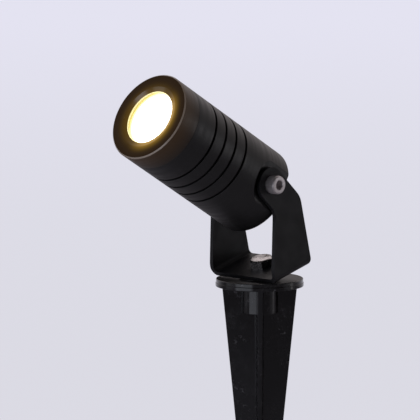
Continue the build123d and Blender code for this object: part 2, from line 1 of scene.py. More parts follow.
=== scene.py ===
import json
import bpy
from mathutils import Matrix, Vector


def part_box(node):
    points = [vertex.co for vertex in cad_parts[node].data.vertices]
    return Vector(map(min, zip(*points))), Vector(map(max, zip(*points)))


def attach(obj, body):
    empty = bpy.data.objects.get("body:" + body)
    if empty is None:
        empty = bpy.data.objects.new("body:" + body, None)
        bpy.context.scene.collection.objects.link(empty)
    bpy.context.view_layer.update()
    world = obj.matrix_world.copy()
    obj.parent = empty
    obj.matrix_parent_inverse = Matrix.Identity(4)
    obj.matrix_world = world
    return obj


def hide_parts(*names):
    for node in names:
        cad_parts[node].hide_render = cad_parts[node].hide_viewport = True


bl_info = {
    "name": "Garden Spike Spotlight",
    "version": (1, 0, 0),
    "blender": (4, 5, 0),
    "location": "View3D > Sidebar > Spotlight",
    "description": "Finished pieces and studio light for a garden spotlight on a ground spike",
    "category": "Object",
}

from math import cos, pi, radians, sin

import bmesh
import bpy
from bpy.props import FloatProperty, FloatVectorProperty, IntProperty, PointerProperty
from mathutils import Matrix, Vector

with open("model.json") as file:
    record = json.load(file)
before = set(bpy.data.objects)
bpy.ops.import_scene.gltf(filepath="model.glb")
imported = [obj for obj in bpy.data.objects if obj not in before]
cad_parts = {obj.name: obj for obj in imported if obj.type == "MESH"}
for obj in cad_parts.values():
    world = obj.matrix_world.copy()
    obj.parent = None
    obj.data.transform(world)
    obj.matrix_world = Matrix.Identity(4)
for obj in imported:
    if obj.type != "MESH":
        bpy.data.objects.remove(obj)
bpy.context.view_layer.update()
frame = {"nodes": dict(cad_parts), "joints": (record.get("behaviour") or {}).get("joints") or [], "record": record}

MM = 0.001
TURN_STEPS = 160               # sides of a large turned body
SMALL_TURN_STEPS = 72
HOLE_STEPS = 48
SHARP_ANGLE = radians(22)      # edges sharper than this stay sharp in the shading
BREAK_ANGLE = radians(30)      # edges sharper than this are broken
HAIR = 1e-6                    # points nearer than this are one point
PARTING_SHARE = 0.46           # height of the mould's parting line, as a share of the flange
FIN_MERGE = 0.01 * MM          # the corners at which neighbouring fins meet lie within this
SOCKET_TURN = 0.2              # turn of the pivot screws' sockets, in radians

# ---------------------------------------------------------------- places read from the frame

NODES = frame["nodes"]
MOUNTS = {mount["name"]: mount for mount in frame["record"]["mounts"]}
JOINTS = {joint["name"]: joint for joint in frame["joints"]}
PIVOT = Vector(JOINTS["head_tilt"]["pos_m"])
AIM = -Vector(MOUNTS["cord_entry"]["axis"]).normalized()
SIDEWAYS = Vector((1, 0, 0))


def reach(node, direction, start=PIVOT):
    """The nearest and farthest that a node's solid goes along a direction from a point."""
    heights = [direction.dot(vertex.co - start) for vertex in NODES[node].data.vertices]
    return min(heights), max(heights)


def placed(origin, local_x, local_z):
    """The matrix of a place with its own X and Z directions."""
    local_y = local_z.cross(local_x)
    return Matrix.Translation(origin) @ Matrix((local_x, local_y, local_z)).transposed().to_4x4()


# In the lamp head's own space Z is the depth behind the front face and Y runs downwards.
FRONT = PIVOT + AIM * reach("bezel", AIM)[1]
HEAD_PLACE = placed(FRONT, SIDEWAYS, -AIM)


def depths(node):
    """The depths behind the front face between which a node of the lamp head lies."""
    return reach(node, -AIM, FRONT)


HEAD_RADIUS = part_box("barrel")[1].x
FLANGE_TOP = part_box("spike")[1].z
FLANGE_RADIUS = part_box("spike")[1].x
SPIKE_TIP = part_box("spike")[0].z
EAR_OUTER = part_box("yoke_bracket")[1].x


# ---------------------------------------------------------------- what a user would change


def size(name, millimetres, text):
    """A length property, given in millimetres and held in metres."""
    return FloatProperty(name=name, description=text, default=millimetres * MM, min=0, unit="LENGTH")


def turn(name, degrees, text):
    """An angle property, given in degrees."""
    return FloatProperty(name=name, description=text, default=radians(degrees), unit="ROTATION")


def colour(name, value, text):
    """A colour property in linear light."""
    return FloatVectorProperty(name=name, description=text, default=value, size=3, min=0, max=1,
                               subtype="COLOR")


class SpotlightHead(bpy.types.PropertyGroup):
    """Sizes of the turned lamp head."""

    groove_first: size("First groove", 22.8, "Middle of the first groove, behind the front face")
    groove_pitch: size("Groove pitch", 7.4, "From one groove's middle to the next")
    groove_count: IntProperty(name="Grooves", description="Number of grooves", default=4, min=0)
    groove_width: size("Groove width", 1.3, "Width of a groove")
    groove_depth: size("Groove depth", 1.2, "Depth of a groove")
    edge_break: size("Edge break", 0.16, "Rounding of the edges that the lathe leaves")
    rear_round: size("Rear round", 0.8, "Rounding of the rear edge")
    recess_radius: size("Recess radius", 10.6, "Milled flat round each pivot")
    recess_floor: size("Recess floor", 18.35, "From the middle to the milled flat")
    bore: size("Bore", 17.05, "Radius of the bore for the light engine")
    driver_bore: size("Driver bore", 15.2, "Radius of the bore round the driver")
    driver_end: size("Driver bore end", 56.0, "Depth at which the driver's bore ends")
    passage: size("Wire passage", 5.94, "Radius of the tapped hole for the gland")
    bezel_chamfer: size("Bezel chamfer", 0.6, "Chamfer round the front face")
    bezel_thread: size("Bezel thread", 19.2, "Radius of the bezel's thread")
    mouth: size("Mouth", 15.0, "Radius of the countersink at the front face")
    window: size("Window", 12.7, "Radius of the window")
    countersink: size("Countersink", 0.8, "Depth of the countersink")
    lip: size("Lip", 1.2, "Thickness of the lip that holds the glass")
    glass_edge: size("Glass edge", 0.3, "Rounding of the glass's edges")
    glass_play: size("Glass play", 0.2, "Between the glass and the bezel, on the radius")
    lens_radius: size("Lens radius", 13.6, "Radius of the lens at its rim")
    lens_rim: size("Lens rim", 1.5, "Thickness of the lens's rim")
    lens_step: size("Lens step", 0.6, "Width of the raised ring on the lens's front")
    lens_shoulder: size("Lens shoulder", 12.4, "Radius of the lens behind its rim")
    lens_waist: size("Lens waist", 9.2, "Radius of the lens a little past its middle")
    lens_foot: size("Lens foot", 5.2, "Radius of the lens at its rear end")
    lens_hollow: size("Lens hollow", 3.4, "Radius of the hollow over the light source")
    lens_hollow_depth: size("Hollow depth", 4.0, "Depth of the hollow over the light source")


class SpotlightYoke(bpy.types.PropertyGroup):
    """Sizes of the folded yoke and its fasteners."""

    lean: turn("Lean", 15.7, "How far the yoke's floor tips down to the front")
    bolt_back: size("Bolt back", 2.3, "The bolt's axis behind the spike's axis, under the floor")
    floor_height: size("Floor height", 3.7, "Of the floor's underside above the flange, at the bolt")
    sheet: size("Sheet", 2.0, "Thickness of the sheet")
    bend: size("Bend", 2.0, "Inner radius of the bends")
    floor_front: size("Floor front", 12.6, "From the bolt to the floor's front edge")
    floor_back: size("Floor back", 11.5, "From the bolt to the floor's rear edge")
    leg_front: size("Leg front", 13.4, "From the bolt to the legs' front edge")
    leg_front_rise: size("Leg rise", 5.0, "Height of the legs' front corner")
    knee_front: size("Front knee", 32.4, "Height at which the arm's front edge leans")
    knee_back: size("Rear knee", 33.8, "Height at which the arm's rear edge leans")
    heel_round: size("Heel round", 2.2, "Rounding of the floor's rear corner")
    toe_round: size("Toe round", 0.4, "Rounding of the floor's front edge, seen from the side")
    foot_round: size("Foot round", 2.0, "Rounding of the legs' front corner")
    elbow_round: size("Elbow round", 3.0, "Rounding where the arms lean")
    arm_lean: turn("Arm lean", 31.5, "Lean of the upper arm")
    arm_radius: size("Arm radius", 7.8, "Radius of the ear round the pivot")
    pivot_play: size("Pivot play", 0.08, "Between a pivot screw and its hole, on the radius")
    floor_play: size("Floor play", 0.25, "Between the bolt and its hole, on the radius")
    pivot_forward: size("Pivot forward", 4.0, "From the bolt's axis to the pivot, along the floor")
    pivot_height: size("Pivot height", 46.0, "From the floor's underside to the pivot")
    edge_break: size("Edge break", 0.22, "Rounding of the sheet's edges")
    bolt_flats: size("Bolt flats", 10.0, "Across the flats of the hexagon bolt")
    bolt_face: size("Bolt face", 9.4, "Diameter of the bolt's flat top")
    bolt_head: size("Bolt head", 4.0, "Height of the hexagon head")
    bolt_thread: size("Bolt thread", 3.0, "Radius of the bolt's shank")
    bolt_length: size("Bolt length", 8.0, "Length of the bolt under its head")
    bolt_turn: turn("Bolt turn", -15.0, "Turn of the hexagon head")
    bolt_edge: size("Bolt edge", 0.12, "Rounding of the bolt's edges")
    thread_end: size("Thread end", 0.4, "Rounding of the end of the bolt and of the screws")
    screw_head_radius: size("Screw head", 4.25, "Radius of a pivot screw's head")
    screw_head: size("Screw head height", 5.0, "Height of a pivot screw's head")
    screw_socket: size("Screw socket", 4.0, "Across the flats of a pivot screw's socket")
    screw_socket_depth: size("Socket depth", 2.6, "Depth of a pivot screw's socket")
    screw_thread: size("Screw thread", 2.5, "Radius of a pivot screw's shank")
    screw_length: size("Screw length", 10.0, "Length of a pivot screw under its head")
    screw_round: size("Screw round", 0.6, "Rounding of a pivot screw's head")
    screw_base: size("Screw base", 0.15, "Rounding under a pivot screw's head")
    knurl: size("Knurl", 0.14, "Height of the ribs round a pivot screw's head")
    knurls: IntProperty(name="Knurls", description="Ribs round a pivot screw's head", default=40)


class SpotlightSpike(bpy.types.PropertyGroup):
    """Sizes of the moulded spike."""

    fin_reach: size("Fin reach", 17.5, "From the axis to a fin's edge, under the flange")
    fin_edge: size("Fin edge", 2.3, "Thickness of a fin at its edge")
    fin_root: size("Fin root", 4.4, "Thickness of a fin at the axis")
    tip_reach: size("Tip reach", 1.1, "From the axis to a fin's edge, at the tip")
    tip_edge: size("Tip edge", 1.0, "Thickness of a fin's edge at the tip")
    tip_root: size("Tip root", 1.6, "Thickness of a fin at the axis, at the tip")
    fin_count: IntProperty(name="Fins", description="Number of fins", default=4, min=2)
    fin_yaw: turn("Fin yaw", -45.0, "Direction of the first fin")
    boss: size("Boss", 8.8, "Radius of the boss under the flange")
    boss_depth: size("Boss depth", 12.6, "Height of the boss")
    seat_hole: size("Seat hole", 9.5, "Radius of the recess for the swivel seat")
    seat_sink: size("Seat sink", 2.4, "Depth of the recess for the swivel seat")
    stem_hole: size("Stem hole", 6.5, "Radius of the swivel's bore")
    stem_depth: size("Stem depth", 10.9, "Depth of the swivel's bore")
    parting_step: size("Parting step", 0.22, "Step round the flange where the mould halves meet")
    edge_break: size("Edge break", 0.3, "Rounding of the moulded edges")


class SpotlightSwivel(bpy.types.PropertyGroup):
    """Sizes of the swivel seat."""

    play: size("Play", 0.1, "Between the seat and the spike, on the radius")
    tap_play: size("Tap play", 0.04, "Between the bolt and its hole, on the radius")
    tap_depth: size("Tap depth", 6.5, "Depth of the bolt's hole")
    stem_round: size("Stem round", 0.5, "Rounding of the stem's lower end")
    seat_round: size("Seat round", 0.2, "Rounding of the seat's lower edge")
    brake_width: size("Brake groove", 1.5, "Width of the groove for the brake ring")
    brake_floor: size("Brake floor", 5.17, "Radius of the floor of the brake ring's groove")
    snap_depth: size("Snap groove", 0.9, "Depth of the snap ring's groove")


class SpotlightGland(bpy.types.PropertyGroup):
    """Sizes of the cord's gland."""

    flats: size("Flats", 14.0, "Across the flats of the gland's body")
    thread: size("Thread", 5.9, "Radius of the thread in the housing")
    neck: size("Neck", 4.9, "Radius of the thread for the nut")
    cord_passage: size("Cord passage", 3.1, "Radius of the cord's passage")
    seal_bore: size("Seal bore", 3.95, "Radius of the bore round the seal")
    nut_bore: size("Nut bore", 4.95, "Radius of the nut's thread")
    chamfer: size("Chamfer", 0.6, "Height of the chamfer on the body's hexagon")
    thread_round: size("Thread round", 0.3, "Rounding of the thread's end in the housing")
    soft: size("Soft edge", 0.2, "Rounding of the neck's end and the nut's start")
    dome: size("Dome", 1.5, "Rounding of the nut's shoulder")
    nose_round: size("Nose round", 0.6, "Rounding of the nut's end")
    mouth_round: size("Mouth round", 0.3, "Rounding of the nut's opening")
    nut_straight: size("Nut straight", 4.6, "Length of the nut's straight part")
    nut_nose: size("Nut nose", 4.7, "Radius of the nut's end")
    nut_mouth: size("Nut mouth", 3.2, "Radius of the nut's opening for the cord")
    rib: size("Rib", 0.3, "Height of the grip ribs round the nut")
    rib_width: size("Rib width", 0.9, "Width of a grip rib")
    ribs: IntProperty(name="Ribs", description="Grip ribs round the nut", default=18)
    edge_break: size("Edge break", 0.15, "Rounding of the body's edges")


class SpotlightFinish(bpy.types.PropertyGroup):
    """Colours of the finishes."""

    anodised: colour("Anodised", (0.0062, 0.0058, 0.0056), "Black anodised aluminium")
    # The bezel is the same black anodising; its browner tint is painted warm light from the window.
    anodised_with_painted_warmth: colour("Bezel", (0.0085, 0.0068, 0.0052), "Black anodised bezel, a little browner")
    coat: colour("Powder coat", (0.0052, 0.0052, 0.0062), "Black powder coat")
    plastic: colour("Plastic", (0.0026, 0.0026, 0.0028), "Black moulded plastic")
    steel: colour("Steel", (0.42, 0.40, 0.395), "Bare stainless steel")
    glow: colour("Glow", (1.0, 0.82, 0.38), "Light of the lamp, at the rim of its lens")
    dust: colour("Dust", (0.16, 0.155, 0.165), "Dust and fine scuffs")


class SpotlightStudio(bpy.types.PropertyGroup):
    """The camera and the studio."""

    azimuth: turn("Azimuth", 44.34, "Direction of the camera, round from the front")
    elevation: turn("Elevation", 7.41, "Height angle of the camera")
    distance: size("Distance", 1501.0, "From the camera to the point it looks at")
    look_forward: size("Look forward", 20.0, "The point looked at, in front of the spike's axis")
    look_height: size("Look height", 33.5, "The point looked at, above the flange's underside")
    lens: FloatProperty(name="Lens", description="Focal length in millimetres", default=279.3)
    shift_x: FloatProperty(name="Shift X", description="Share of the picture's width", default=-0.0467)
    shift_y: FloatProperty(name="Shift Y", description="Share of the picture's width", default=0.0193)
    backdrop: colour("Backdrop", (0.776, 0.768, 0.880), "Pale backdrop, and the floor far off")
    floor: colour("Floor", (0.708, 0.703, 0.772), "Pale floor close by")
    front_fill: FloatProperty(name="Front fill", description="Dim light from before the lamp", default=0.05)
    back_fill: FloatProperty(name="Back fill", description="Bright light from behind the lamp",
                             default=0.55)


# ---------------------------------------------------------------- mesh making


def softened(outline, steps=4):
    """An outline whose corners are rounded. Each corner is (x, y, rounding)."""
    points = []
    for index, (x, y, rounding) in enumerate(outline):
        corner = Vector((x, y))
        before = Vector(outline[index - 1][:2]) - corner
        after = Vector(outline[(index + 1) % len(outline)][:2]) - corner
        if rounding <= 0:
            points.append(corner)
            continue
        cut = min(rounding, 0.45 * before.length, 0.45 * after.length)
        start, end = corner + before.normalized() * cut, corner + after.normalized() * cut
        for step in range(steps + 1):
            t = step / steps
            points.append(start * (1 - t) ** 2 + corner * 2 * t * (1 - t) + end * t ** 2)
    return [(point.x, point.y) for point in points]


def finished_mesh(name, bm, place):
    """The mesh of a bmesh, its doubles merged, its faces outwards, in its place."""
    bmesh.ops.remove_doubles(bm, verts=bm.verts, dist=HAIR)
    bmesh.ops.recalc_face_normals(bm, faces=bm.faces)
    mesh = bpy.data.meshes.new(name)
    bm.to_mesh(mesh)
    bm.free()
    mesh.transform(place)
    return mesh


def turned(name, outline, place=Matrix.Identity(4), steps=TURN_STEPS):
    """A turned body: an outline of (radius, height) points taken round the local Z axis."""
    bm = bmesh.new()
    angles = [2 * pi * step / steps for step in range(steps)]
    rings = []
    for radius, height in outline:
        if radius < HAIR:
            rings.append([bm.verts.new((0, 0, height))])
        else:
            rings.append([bm.verts.new((radius * cos(a), radius * sin(a), height)) for a in angles])
    pairs = list(zip(rings, rings[1:]))
    if len(rings[0]) > 1 and len(rings[-1]) > 1:
        pairs.append((rings[-1], rings[0]))
    for near, far in pairs:
        if len(near) == 1 and len(far) == 1:
            continue
        for step in range(steps):
            corners = []
            for ring, side in ((near, 0), (near, 1), (far, 1), (far, 0)):
                vertex = ring[(step + side) % steps] if len(ring) > 1 else ring[0]
                if vertex not in corners:
                    corners.append(vertex)
            bm.faces.new(corners)
    return finished_mesh(name, bm, place)


def small_turned(name, outline, place=Matrix.Identity(4)):
    """A small turned body, which needs fewer sides."""
    return turned(name, outline, place, SMALL_TURN_STEPS)


def prism(name, outline, low, high, place=Matrix.Identity(4)):
    """An outline of (x, y) points, extruded along the local Z axis."""
    bm = bmesh.new()
    bottom = [bm.verts.new((x, y, low)) for x, y in outline]
    top = [bm.verts.new((x, y, high)) for x, y in outline]
    bm.faces.new(bottom)
    bm.faces.new(top)
    for index in range(len(outline)):
        after = (index + 1) % len(outline)
        bm.faces.new((bottom[index], bottom[after], top[after], top[index]))
    return finished_mesh(name, bm, place)


def arc(middle, radius, first, sweep, steps):
    """Points along an arc from a first angle over a sweep, with both of its ends."""
    angles = [first + sweep * step / steps for step in range(steps + 1)]
    return [(middle[0] + radius * cos(a), middle[1] + radius * sin(a)) for a in angles]


def circle(radius, steps, middle=(0, 0)):
    """Points round a circle."""
    return arc(middle, radius, 0.0, 2 * pi, steps)[:-1]


def hexagon(across_flats, yaw=0.0):
    """The corners of a hexagon with a flat at its yaw."""
    return arc((0, 0), across_flats / 2 / cos(pi / 6), yaw + pi / 6, 2 * pi, 6)[:-1]


def rod(radius, low, high):
    """The outline of a plain rod, to be turned."""
    return [(0, low), (radius, low), (radius, high), (0, high)]


def linked(name, mesh):
    """A new object for a mesh, in the scene."""
    piece = bpy.data.objects.new(name, mesh)
    bpy.context.scene.collection.objects.link(piece)
    return piece


def settle(piece):
    """Turns a piece's modifiers into plain mesh."""
    graph = bpy.context.evaluated_depsgraph_get()
    old = piece.data
    piece.data = bpy.data.meshes.new_from_object(piece.evaluated_get(graph))
    piece.modifiers.clear()
    bpy.data.meshes.remove(old)
    piece.data.name = piece.name


def combined(mesh, tools, operation):
    """A mesh cut by, joined to or kept inside other closed meshes."""
    piece = linked("work", mesh)
    helpers = []
    for index, tool in enumerate(tools):
        helper = linked(f"tool_{index}", tool)
        helpers.append(helper)
        modifier = piece.modifiers.new(f"cut_{index}", "BOOLEAN")
        modifier.operation = operation
        modifier.solver = "EXACT"
        modifier.object = helper
    settle(piece)
    result = piece.data
    bpy.data.objects.remove(piece)
    for helper in helpers:
        tool = helper.data
        bpy.data.objects.remove(helper)
        bpy.data.meshes.remove(tool)
    return result


def edges_broken(piece, width):
    """Rounds a piece's sharp edges by a small width."""
    modifier = piece.modifiers.new("edge_break", "BEVEL")
    modifier.width = width
    modifier.segments = 2
    modifier.limit_method = "ANGLE"
    modifier.angle_limit = BREAK_ANGLE
    modifier.harden_normals = False
    modifier.miter_outer = "MITER_ARC"
    settle(piece)


def joined(piece, other):
    """Adds another piece's mesh to a piece, as a part of its own, and removes the other piece."""
    bm = bmesh.new()
    bm.from_mesh(piece.data)
    bm.from_mesh(other.data)
    bm.to_mesh(piece.data)
    bm.free()
    bpy.data.objects.remove(other)


def hand_over(piece, body, slot, material, *replaced):
    """Shades a piece, gives it its material and says what it rides on and stands for.

    Its normals follow the larger faces, so that flat faces stay flat beside narrow roundings.
    """
    piece.data.shade_smooth()
    piece.data.set_sharp_from_angle(angle=SHARP_ANGLE)
    even = piece.modifiers.new("even_normals", "WEIGHTED_NORMAL")
    even.keep_sharp = True
    even.weight = 100
    settle(piece)
    piece.data.materials.clear()
    piece.data.materials.append(material)
    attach(piece, body)
    if replaced:
        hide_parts(*replaced)


# ---------------------------------------------------------------- geometry nodes


def copies_tree():
    """The tree that sets copies of a mesh round the Z axis and joins them to one mesh."""
    tree = bpy.data.node_groups.get("Copies Round Axis")
    if tree:
        return tree
    tree = bpy.data.node_groups.new("Copies Round Axis", "GeometryNodeTree")
    tree.is_modifier = True
    for label, way, kind in (
        ("Geometry", "OUTPUT", "Geometry"),
        ("Geometry", "INPUT", "Geometry"),
        ("Count", "INPUT", "Int"),
        ("First Angle", "INPUT", "Float"),
        ("Merge Distance", "INPUT", "Float"),
        ("Material", "INPUT", "Material"),
    ):
        tree.interface.new_socket(label, in_out=way, socket_type=f"NodeSocket{kind}")
    new, link = tree.nodes.new, tree.links.new
    entry = new("NodeGroupInput")
    points = new("GeometryNodePoints")
    share = new("ShaderNodeMath")
    share.operation = "DIVIDE"
    share.inputs[0].default_value = 2 * pi
    angle = new("ShaderNodeMath")
    angle.operation = "MULTIPLY_ADD"
    euler = new("ShaderNodeCombineXYZ")
    instances = new("GeometryNodeInstanceOnPoints")
    realize = new("GeometryNodeRealizeInstances")
    merge = new("GeometryNodeMergeByDistance")
    paint = new("GeometryNodeSetMaterial")
    leave = new("NodeGroupOutput")
    link(entry.outputs["Count"], points.inputs["Count"])
    link(entry.outputs["Count"], share.inputs[1])
    link(new("GeometryNodeInputIndex").outputs[0], angle.inputs[0])
    link(share.outputs[0], angle.inputs[1])
    link(entry.outputs["First Angle"], angle.inputs[2])
    link(angle.outputs[0], euler.inputs["Z"])
    link(points.outputs[0], instances.inputs["Points"])
    link(entry.outputs["Geometry"], instances.inputs["Instance"])
    link(euler.outputs[0], instances.inputs["Rotation"])
    link(instances.outputs[0], realize.inputs[0])
    link(realize.outputs[0], merge.inputs["Geometry"])
    link(entry.outputs["Merge Distance"], merge.inputs["Distance"])
    link(merge.outputs[0], paint.inputs["Geometry"])
    link(entry.outputs["Material"], paint.inputs["Material"])
    link(paint.outputs[0], leave.inputs[0])
    return tree


def copied_round(piece, count, first_angle, merge, material, place=Matrix.Identity(4)):
    """Turns a piece's mesh into copies round its Z axis, and then puts them in their place."""
    tree = copies_tree()
    modifier = piece.modifiers.new("copies", "NODES")
    modifier.node_group = tree
    values = {"Count": count, "First Angle": first_angle, "Merge Distance": merge, "Material": material}
    for item in tree.interface.items_tree:
        if item.in_out == "INPUT" and item.name in values:
            modifier[item.identifier] = values[item.name]
    settle(piece)
    piece.data.transform(place)


def ribbed(piece, outline, low, high, count, material):
    """Sets upright ribs of one outline round a piece, each a part of its own."""
    ribs = linked("ribs_work", prism("rib", outline, low, high))
    copied_round(ribs, count, 0.0, 0.0, material)
    joined(piece, ribs)


# ---------------------------------------------------------------- shader groups and materials


def shader_group(name, inputs, outputs):
    """A new shader group with float or vector sockets; its tree, entry and exit."""
    tree = bpy.data.node_groups.new(name, "ShaderNodeTree")
    for label, kind in inputs:
        tree.interface.new_socket(label, in_out="INPUT", socket_type=f"NodeSocket{kind}")
    for label in outputs:
        tree.interface.new_socket(label, in_out="OUTPUT", socket_type="NodeSocketFloat")
    return tree, tree.nodes.new("NodeGroupInput"), tree.nodes.new("NodeGroupOutput")


def feed(tree, socket, value):
    """Gives an input socket a value of its own or another node's output."""
    if isinstance(value, bpy.types.NodeSocket):
        tree.links.new(value, socket)
    else:
        socket.default_value = value


def reckon(tree, operation, *values):
    """A Math node on numbers or sockets; its output."""
    node = tree.nodes.new("ShaderNodeMath")
    node.operation = operation
    for socket, value in zip(node.inputs, values):
        feed(tree, socket, value)
    return node.outputs[0]


def along(tree, vector, direction):
    """How far a vector goes along a direction, which is a vector or a socket."""
    node = tree.nodes.new("ShaderNodeVectorMath")
    node.operation = "DOT_PRODUCT"
    feed(tree, node.inputs[0], vector)
    feed(tree, node.inputs[1], direction)
    return node.outputs["Value"]


def spread(tree, value, low, high, new_low=0.0, new_high=1.0):
    """A smooth Map Range of a value; its output."""
    node = tree.nodes.new("ShaderNodeMapRange")
    node.interpolation_type = "SMOOTHSTEP"
    labels = ("Value", "From Min", "From Max", "To Min", "To Max")
    for label, number in zip(labels, (value, low, high, new_low, new_high)):
        feed(tree, node.inputs[label], number)
    return node.outputs["Result"]


def noise(tree, vector, scale, detail=3.0, roughness=0.5):
    """A noise texture on a vector; its value output."""
    node = tree.nodes.new("ShaderNodeTexNoise")
    for label, value in zip(("Vector", "Scale", "Detail", "Roughness"), (vector, scale, detail, roughness)):
        feed(tree, node.inputs[label], value)
    return node.outputs["Fac"]


def noise_along(tree, distance, scale, detail):
    """A noise texture along one distance; its value output."""
    node = tree.nodes.new("ShaderNodeTexNoise")
    node.noise_dimensions = "1D"
    for label, value in zip(("W", "Scale", "Detail"), (distance, scale, detail)):
        feed(tree, node.inputs[label], value)
    return node.outputs["Fac"]


def height_and_radius(tree, vector):
    """How far a vector goes along the Z axis, and how far it lies from that axis."""
    split = tree.nodes.new("ShaderNodeSeparateXYZ")
    tree.links.new(vector, split.inputs[0])
    squares = [reckon(tree, "MULTIPLY", side, side) for side in split.outputs[:2]]
    return split.outputs[2], reckon(tree, "SQRT", reckon(tree, "ADD", *squares))


def facing_up(tree):
    """How far a surface faces up, from -1 to 1."""
    split = tree.nodes.new("ShaderNodeSeparateXYZ")
    tree.links.new(tree.nodes.new("ShaderNodeNewGeometry").outputs["Normal"], split.inputs[0])
    return split.outputs[2]


def turning_marks_group():
    """Rings that a lathe leaves, along Z on a side and along the radius on a face."""
    tree, entry, leave = shader_group(
        "Turning Marks", [("Vector", "Vector"), ("Marks per Metre", "Float")], ["Height", "Streak"])
    height, radius = height_and_radius(tree, entry.outputs["Vector"])
    distance = reckon(tree, "ADD", height, radius)
    fine = noise_along(tree, distance, entry.outputs["Marks per Metre"], 2.0)
    tree.links.new(fine, leave.inputs["Height"])
    tree.links.new(noise_along(tree, distance, 420.0, 1.0), leave.inputs["Streak"])
    return tree


def dust_group():
    """Specks and faint clouds of dust, with more clouds where a surface faces up."""
    tree, entry, leave = shader_group(
        "Dust", [("Vector", "Vector"), ("Scale", "Float"), ("Amount", "Float")], ["Specks", "Clouds"])
    vector, scale, amount = entry.outputs[:3]
    speck = spread(tree, noise(tree, vector, scale, 4.0, 0.7), 0.56, 0.68)
    patchy = spread(tree, noise(tree, vector, reckon(tree, "MULTIPLY", scale, 0.12)), 0.45, 0.65)
    specks = reckon(tree, "MULTIPLY", reckon(tree, "MULTIPLY", speck, patchy), amount)
    cloud = noise(tree, vector, reckon(tree, "MULTIPLY", scale, 0.05), 5.0, 0.65)
    clouds = reckon(tree, "MULTIPLY", spread(tree, cloud, 0.48, 0.75), amount)
    upward = spread(tree, facing_up(tree), -0.4, 1.0, 0.55, 1.0)
    tree.links.new(specks, leave.inputs["Specks"])
    tree.links.new(reckon(tree, "MULTIPLY", clouds, upward), leave.inputs["Clouds"])
    return tree


def grain_group():
    """Fine grain of a coat, a moulding or a cast face, and slow patches in it."""
    tree, entry, leave = shader_group(
        "Grain", [("Vector", "Vector"), ("Scale", "Float")], ["Height", "Patch"])
    vector, scale = entry.outputs[:2]
    tree.links.new(noise(tree, vector, scale, 2.0, 0.55), leave.inputs["Height"])
    slow = noise(tree, vector, reckon(tree, "MULTIPLY", scale, 0.06), 4.0)
    tree.links.new(slow, leave.inputs["Patch"])
    return tree


def edge_wear_group():
    """Edges that rub bare: where the rounded normal leaves the true one, broken up by noise."""
    tree, entry, leave = shader_group("Edge Wear", [("Vector", "Vector"), ("Radius", "Float")], ["Worn"])
    rounded = tree.nodes.new("ShaderNodeBevel")
    rounded.samples = 6
    tree.links.new(entry.outputs["Radius"], rounded.inputs["Radius"])
    true_normal = tree.nodes.new("ShaderNodeNewGeometry").outputs["Normal"]
    edge = spread(tree, along(tree, rounded.outputs[0], true_normal), 0.995, 0.90)
    broken = spread(tree, noise(tree, entry.outputs["Vector"], 900.0, 4.0, 0.7), 0.42, 0.66)
    tree.links.new(reckon(tree, "MULTIPLY", edge, broken), leave.inputs["Worn"])
    return tree


GROUP_MAKERS = {
    "Turning Marks": turning_marks_group,
    "Dust": dust_group,
    "Grain": grain_group,
    "Edge Wear": edge_wear_group,
}


class Finish:
    """A material in the making: its tree, its shader and the coordinates that it reads."""

    def __init__(self, name, metallic=0.0, specular=0.5, place=None):
        self.material = bpy.data.materials.new(name)
        self.material.use_nodes = True
        self.tree = self.material.node_tree
        self.shader = self.tree.nodes["Principled BSDF"]
        self.shader.inputs["Metallic"].default_value = metallic
        self.shader.inputs["Specular IOR Level"].default_value = specular
        self.coordinates = self.tree.nodes.new("ShaderNodeTexCoord").outputs["Object"]
        if place is not None:
            mapping = self.tree.nodes.new("ShaderNodeMapping")
            mapping.vector_type = "TEXTURE"
            mapping.inputs["Location"].default_value = place.to_translation()
            mapping.inputs["Rotation"].default_value = place.to_euler()
            self.tree.links.new(self.coordinates, mapping.inputs["Vector"])
            self.coordinates = mapping.outputs[0]

    def group(self, name, **values):
        """A shared group, fed with the coordinates and its own values."""
        tree = bpy.data.node_groups.get(name) or GROUP_MAKERS[name]()
        node = self.tree.nodes.new("ShaderNodeGroup")
        node.node_tree = tree
        self.tree.links.new(self.coordinates, node.inputs["Vector"])
        for label, value in values.items():
            node.inputs[label.replace("_", " ")].default_value = value
        return node

    def blend(self, factor, first, second):
        """A colour between two colours or sockets."""
        node = self.tree.nodes.new("ShaderNodeMix")
        node.data_type = "RGBA"
        self.tree.links.new(factor, node.inputs["Factor"])
        for socket, value in ((node.inputs[6], first), (node.inputs[7], second)):
            feed(self.tree, socket, value if isinstance(value, bpy.types.NodeSocket) else (*value, 1))
        return node.outputs[2]

    def varied(self, mask, tint, dark, bright):
        """A tint that a mask makes darker and brighter."""
        return self.blend(mask, lighter(tint, dark), lighter(tint, bright))

    def overlaid(self, below, mask, share, above):
        """A colour laid over another where a mask is, up to a share."""
        return self.blend(reckon(self.tree, "MULTIPLY", mask, share), below, above)

    def between(self, mask, low, high):
        """A value between two, that follows the middle part of a noise mask."""
        return spread(self.tree, mask, 0.3, 0.7, low, high)

    def base(self, socket):
        """Links a colour to the shader."""
        self.tree.links.new(socket, self.shader.inputs["Base Color"])

    def roughness(self, socket):
        """Links a roughness to the shader."""
        self.tree.links.new(socket, self.shader.inputs["Roughness"])

    def specular(self, socket):
        """Links a strength of reflection to the shader."""
        self.tree.links.new(socket, self.shader.inputs["Specular IOR Level"])

    def lit(self, tint, strength):
        """Gives the shader light of its own."""
        feed(self.tree, self.shader.inputs["Emission Color"], tint)
        feed(self.tree, self.shader.inputs["Emission Strength"], strength)

    def bump(self, height, depth, strength=1.0):
        """Small relief, with its depth in metres."""
        node = self.tree.nodes.new("ShaderNodeBump")
        node.inputs["Distance"].default_value = depth
        node.inputs["Strength"].default_value = strength
        self.tree.links.new(height, node.inputs["Height"])
        self.tree.links.new(node.outputs[0], self.shader.inputs["Normal"])


def lighter(value, factor):
    """A colour made lighter or darker."""
    return tuple(min(1.0, channel * factor) for channel in value[:3])


def kept(name, maker, **values):
    """A material by name, made from its values when it is first asked for."""
    return bpy.data.materials.get(name) or maker(name, **values)


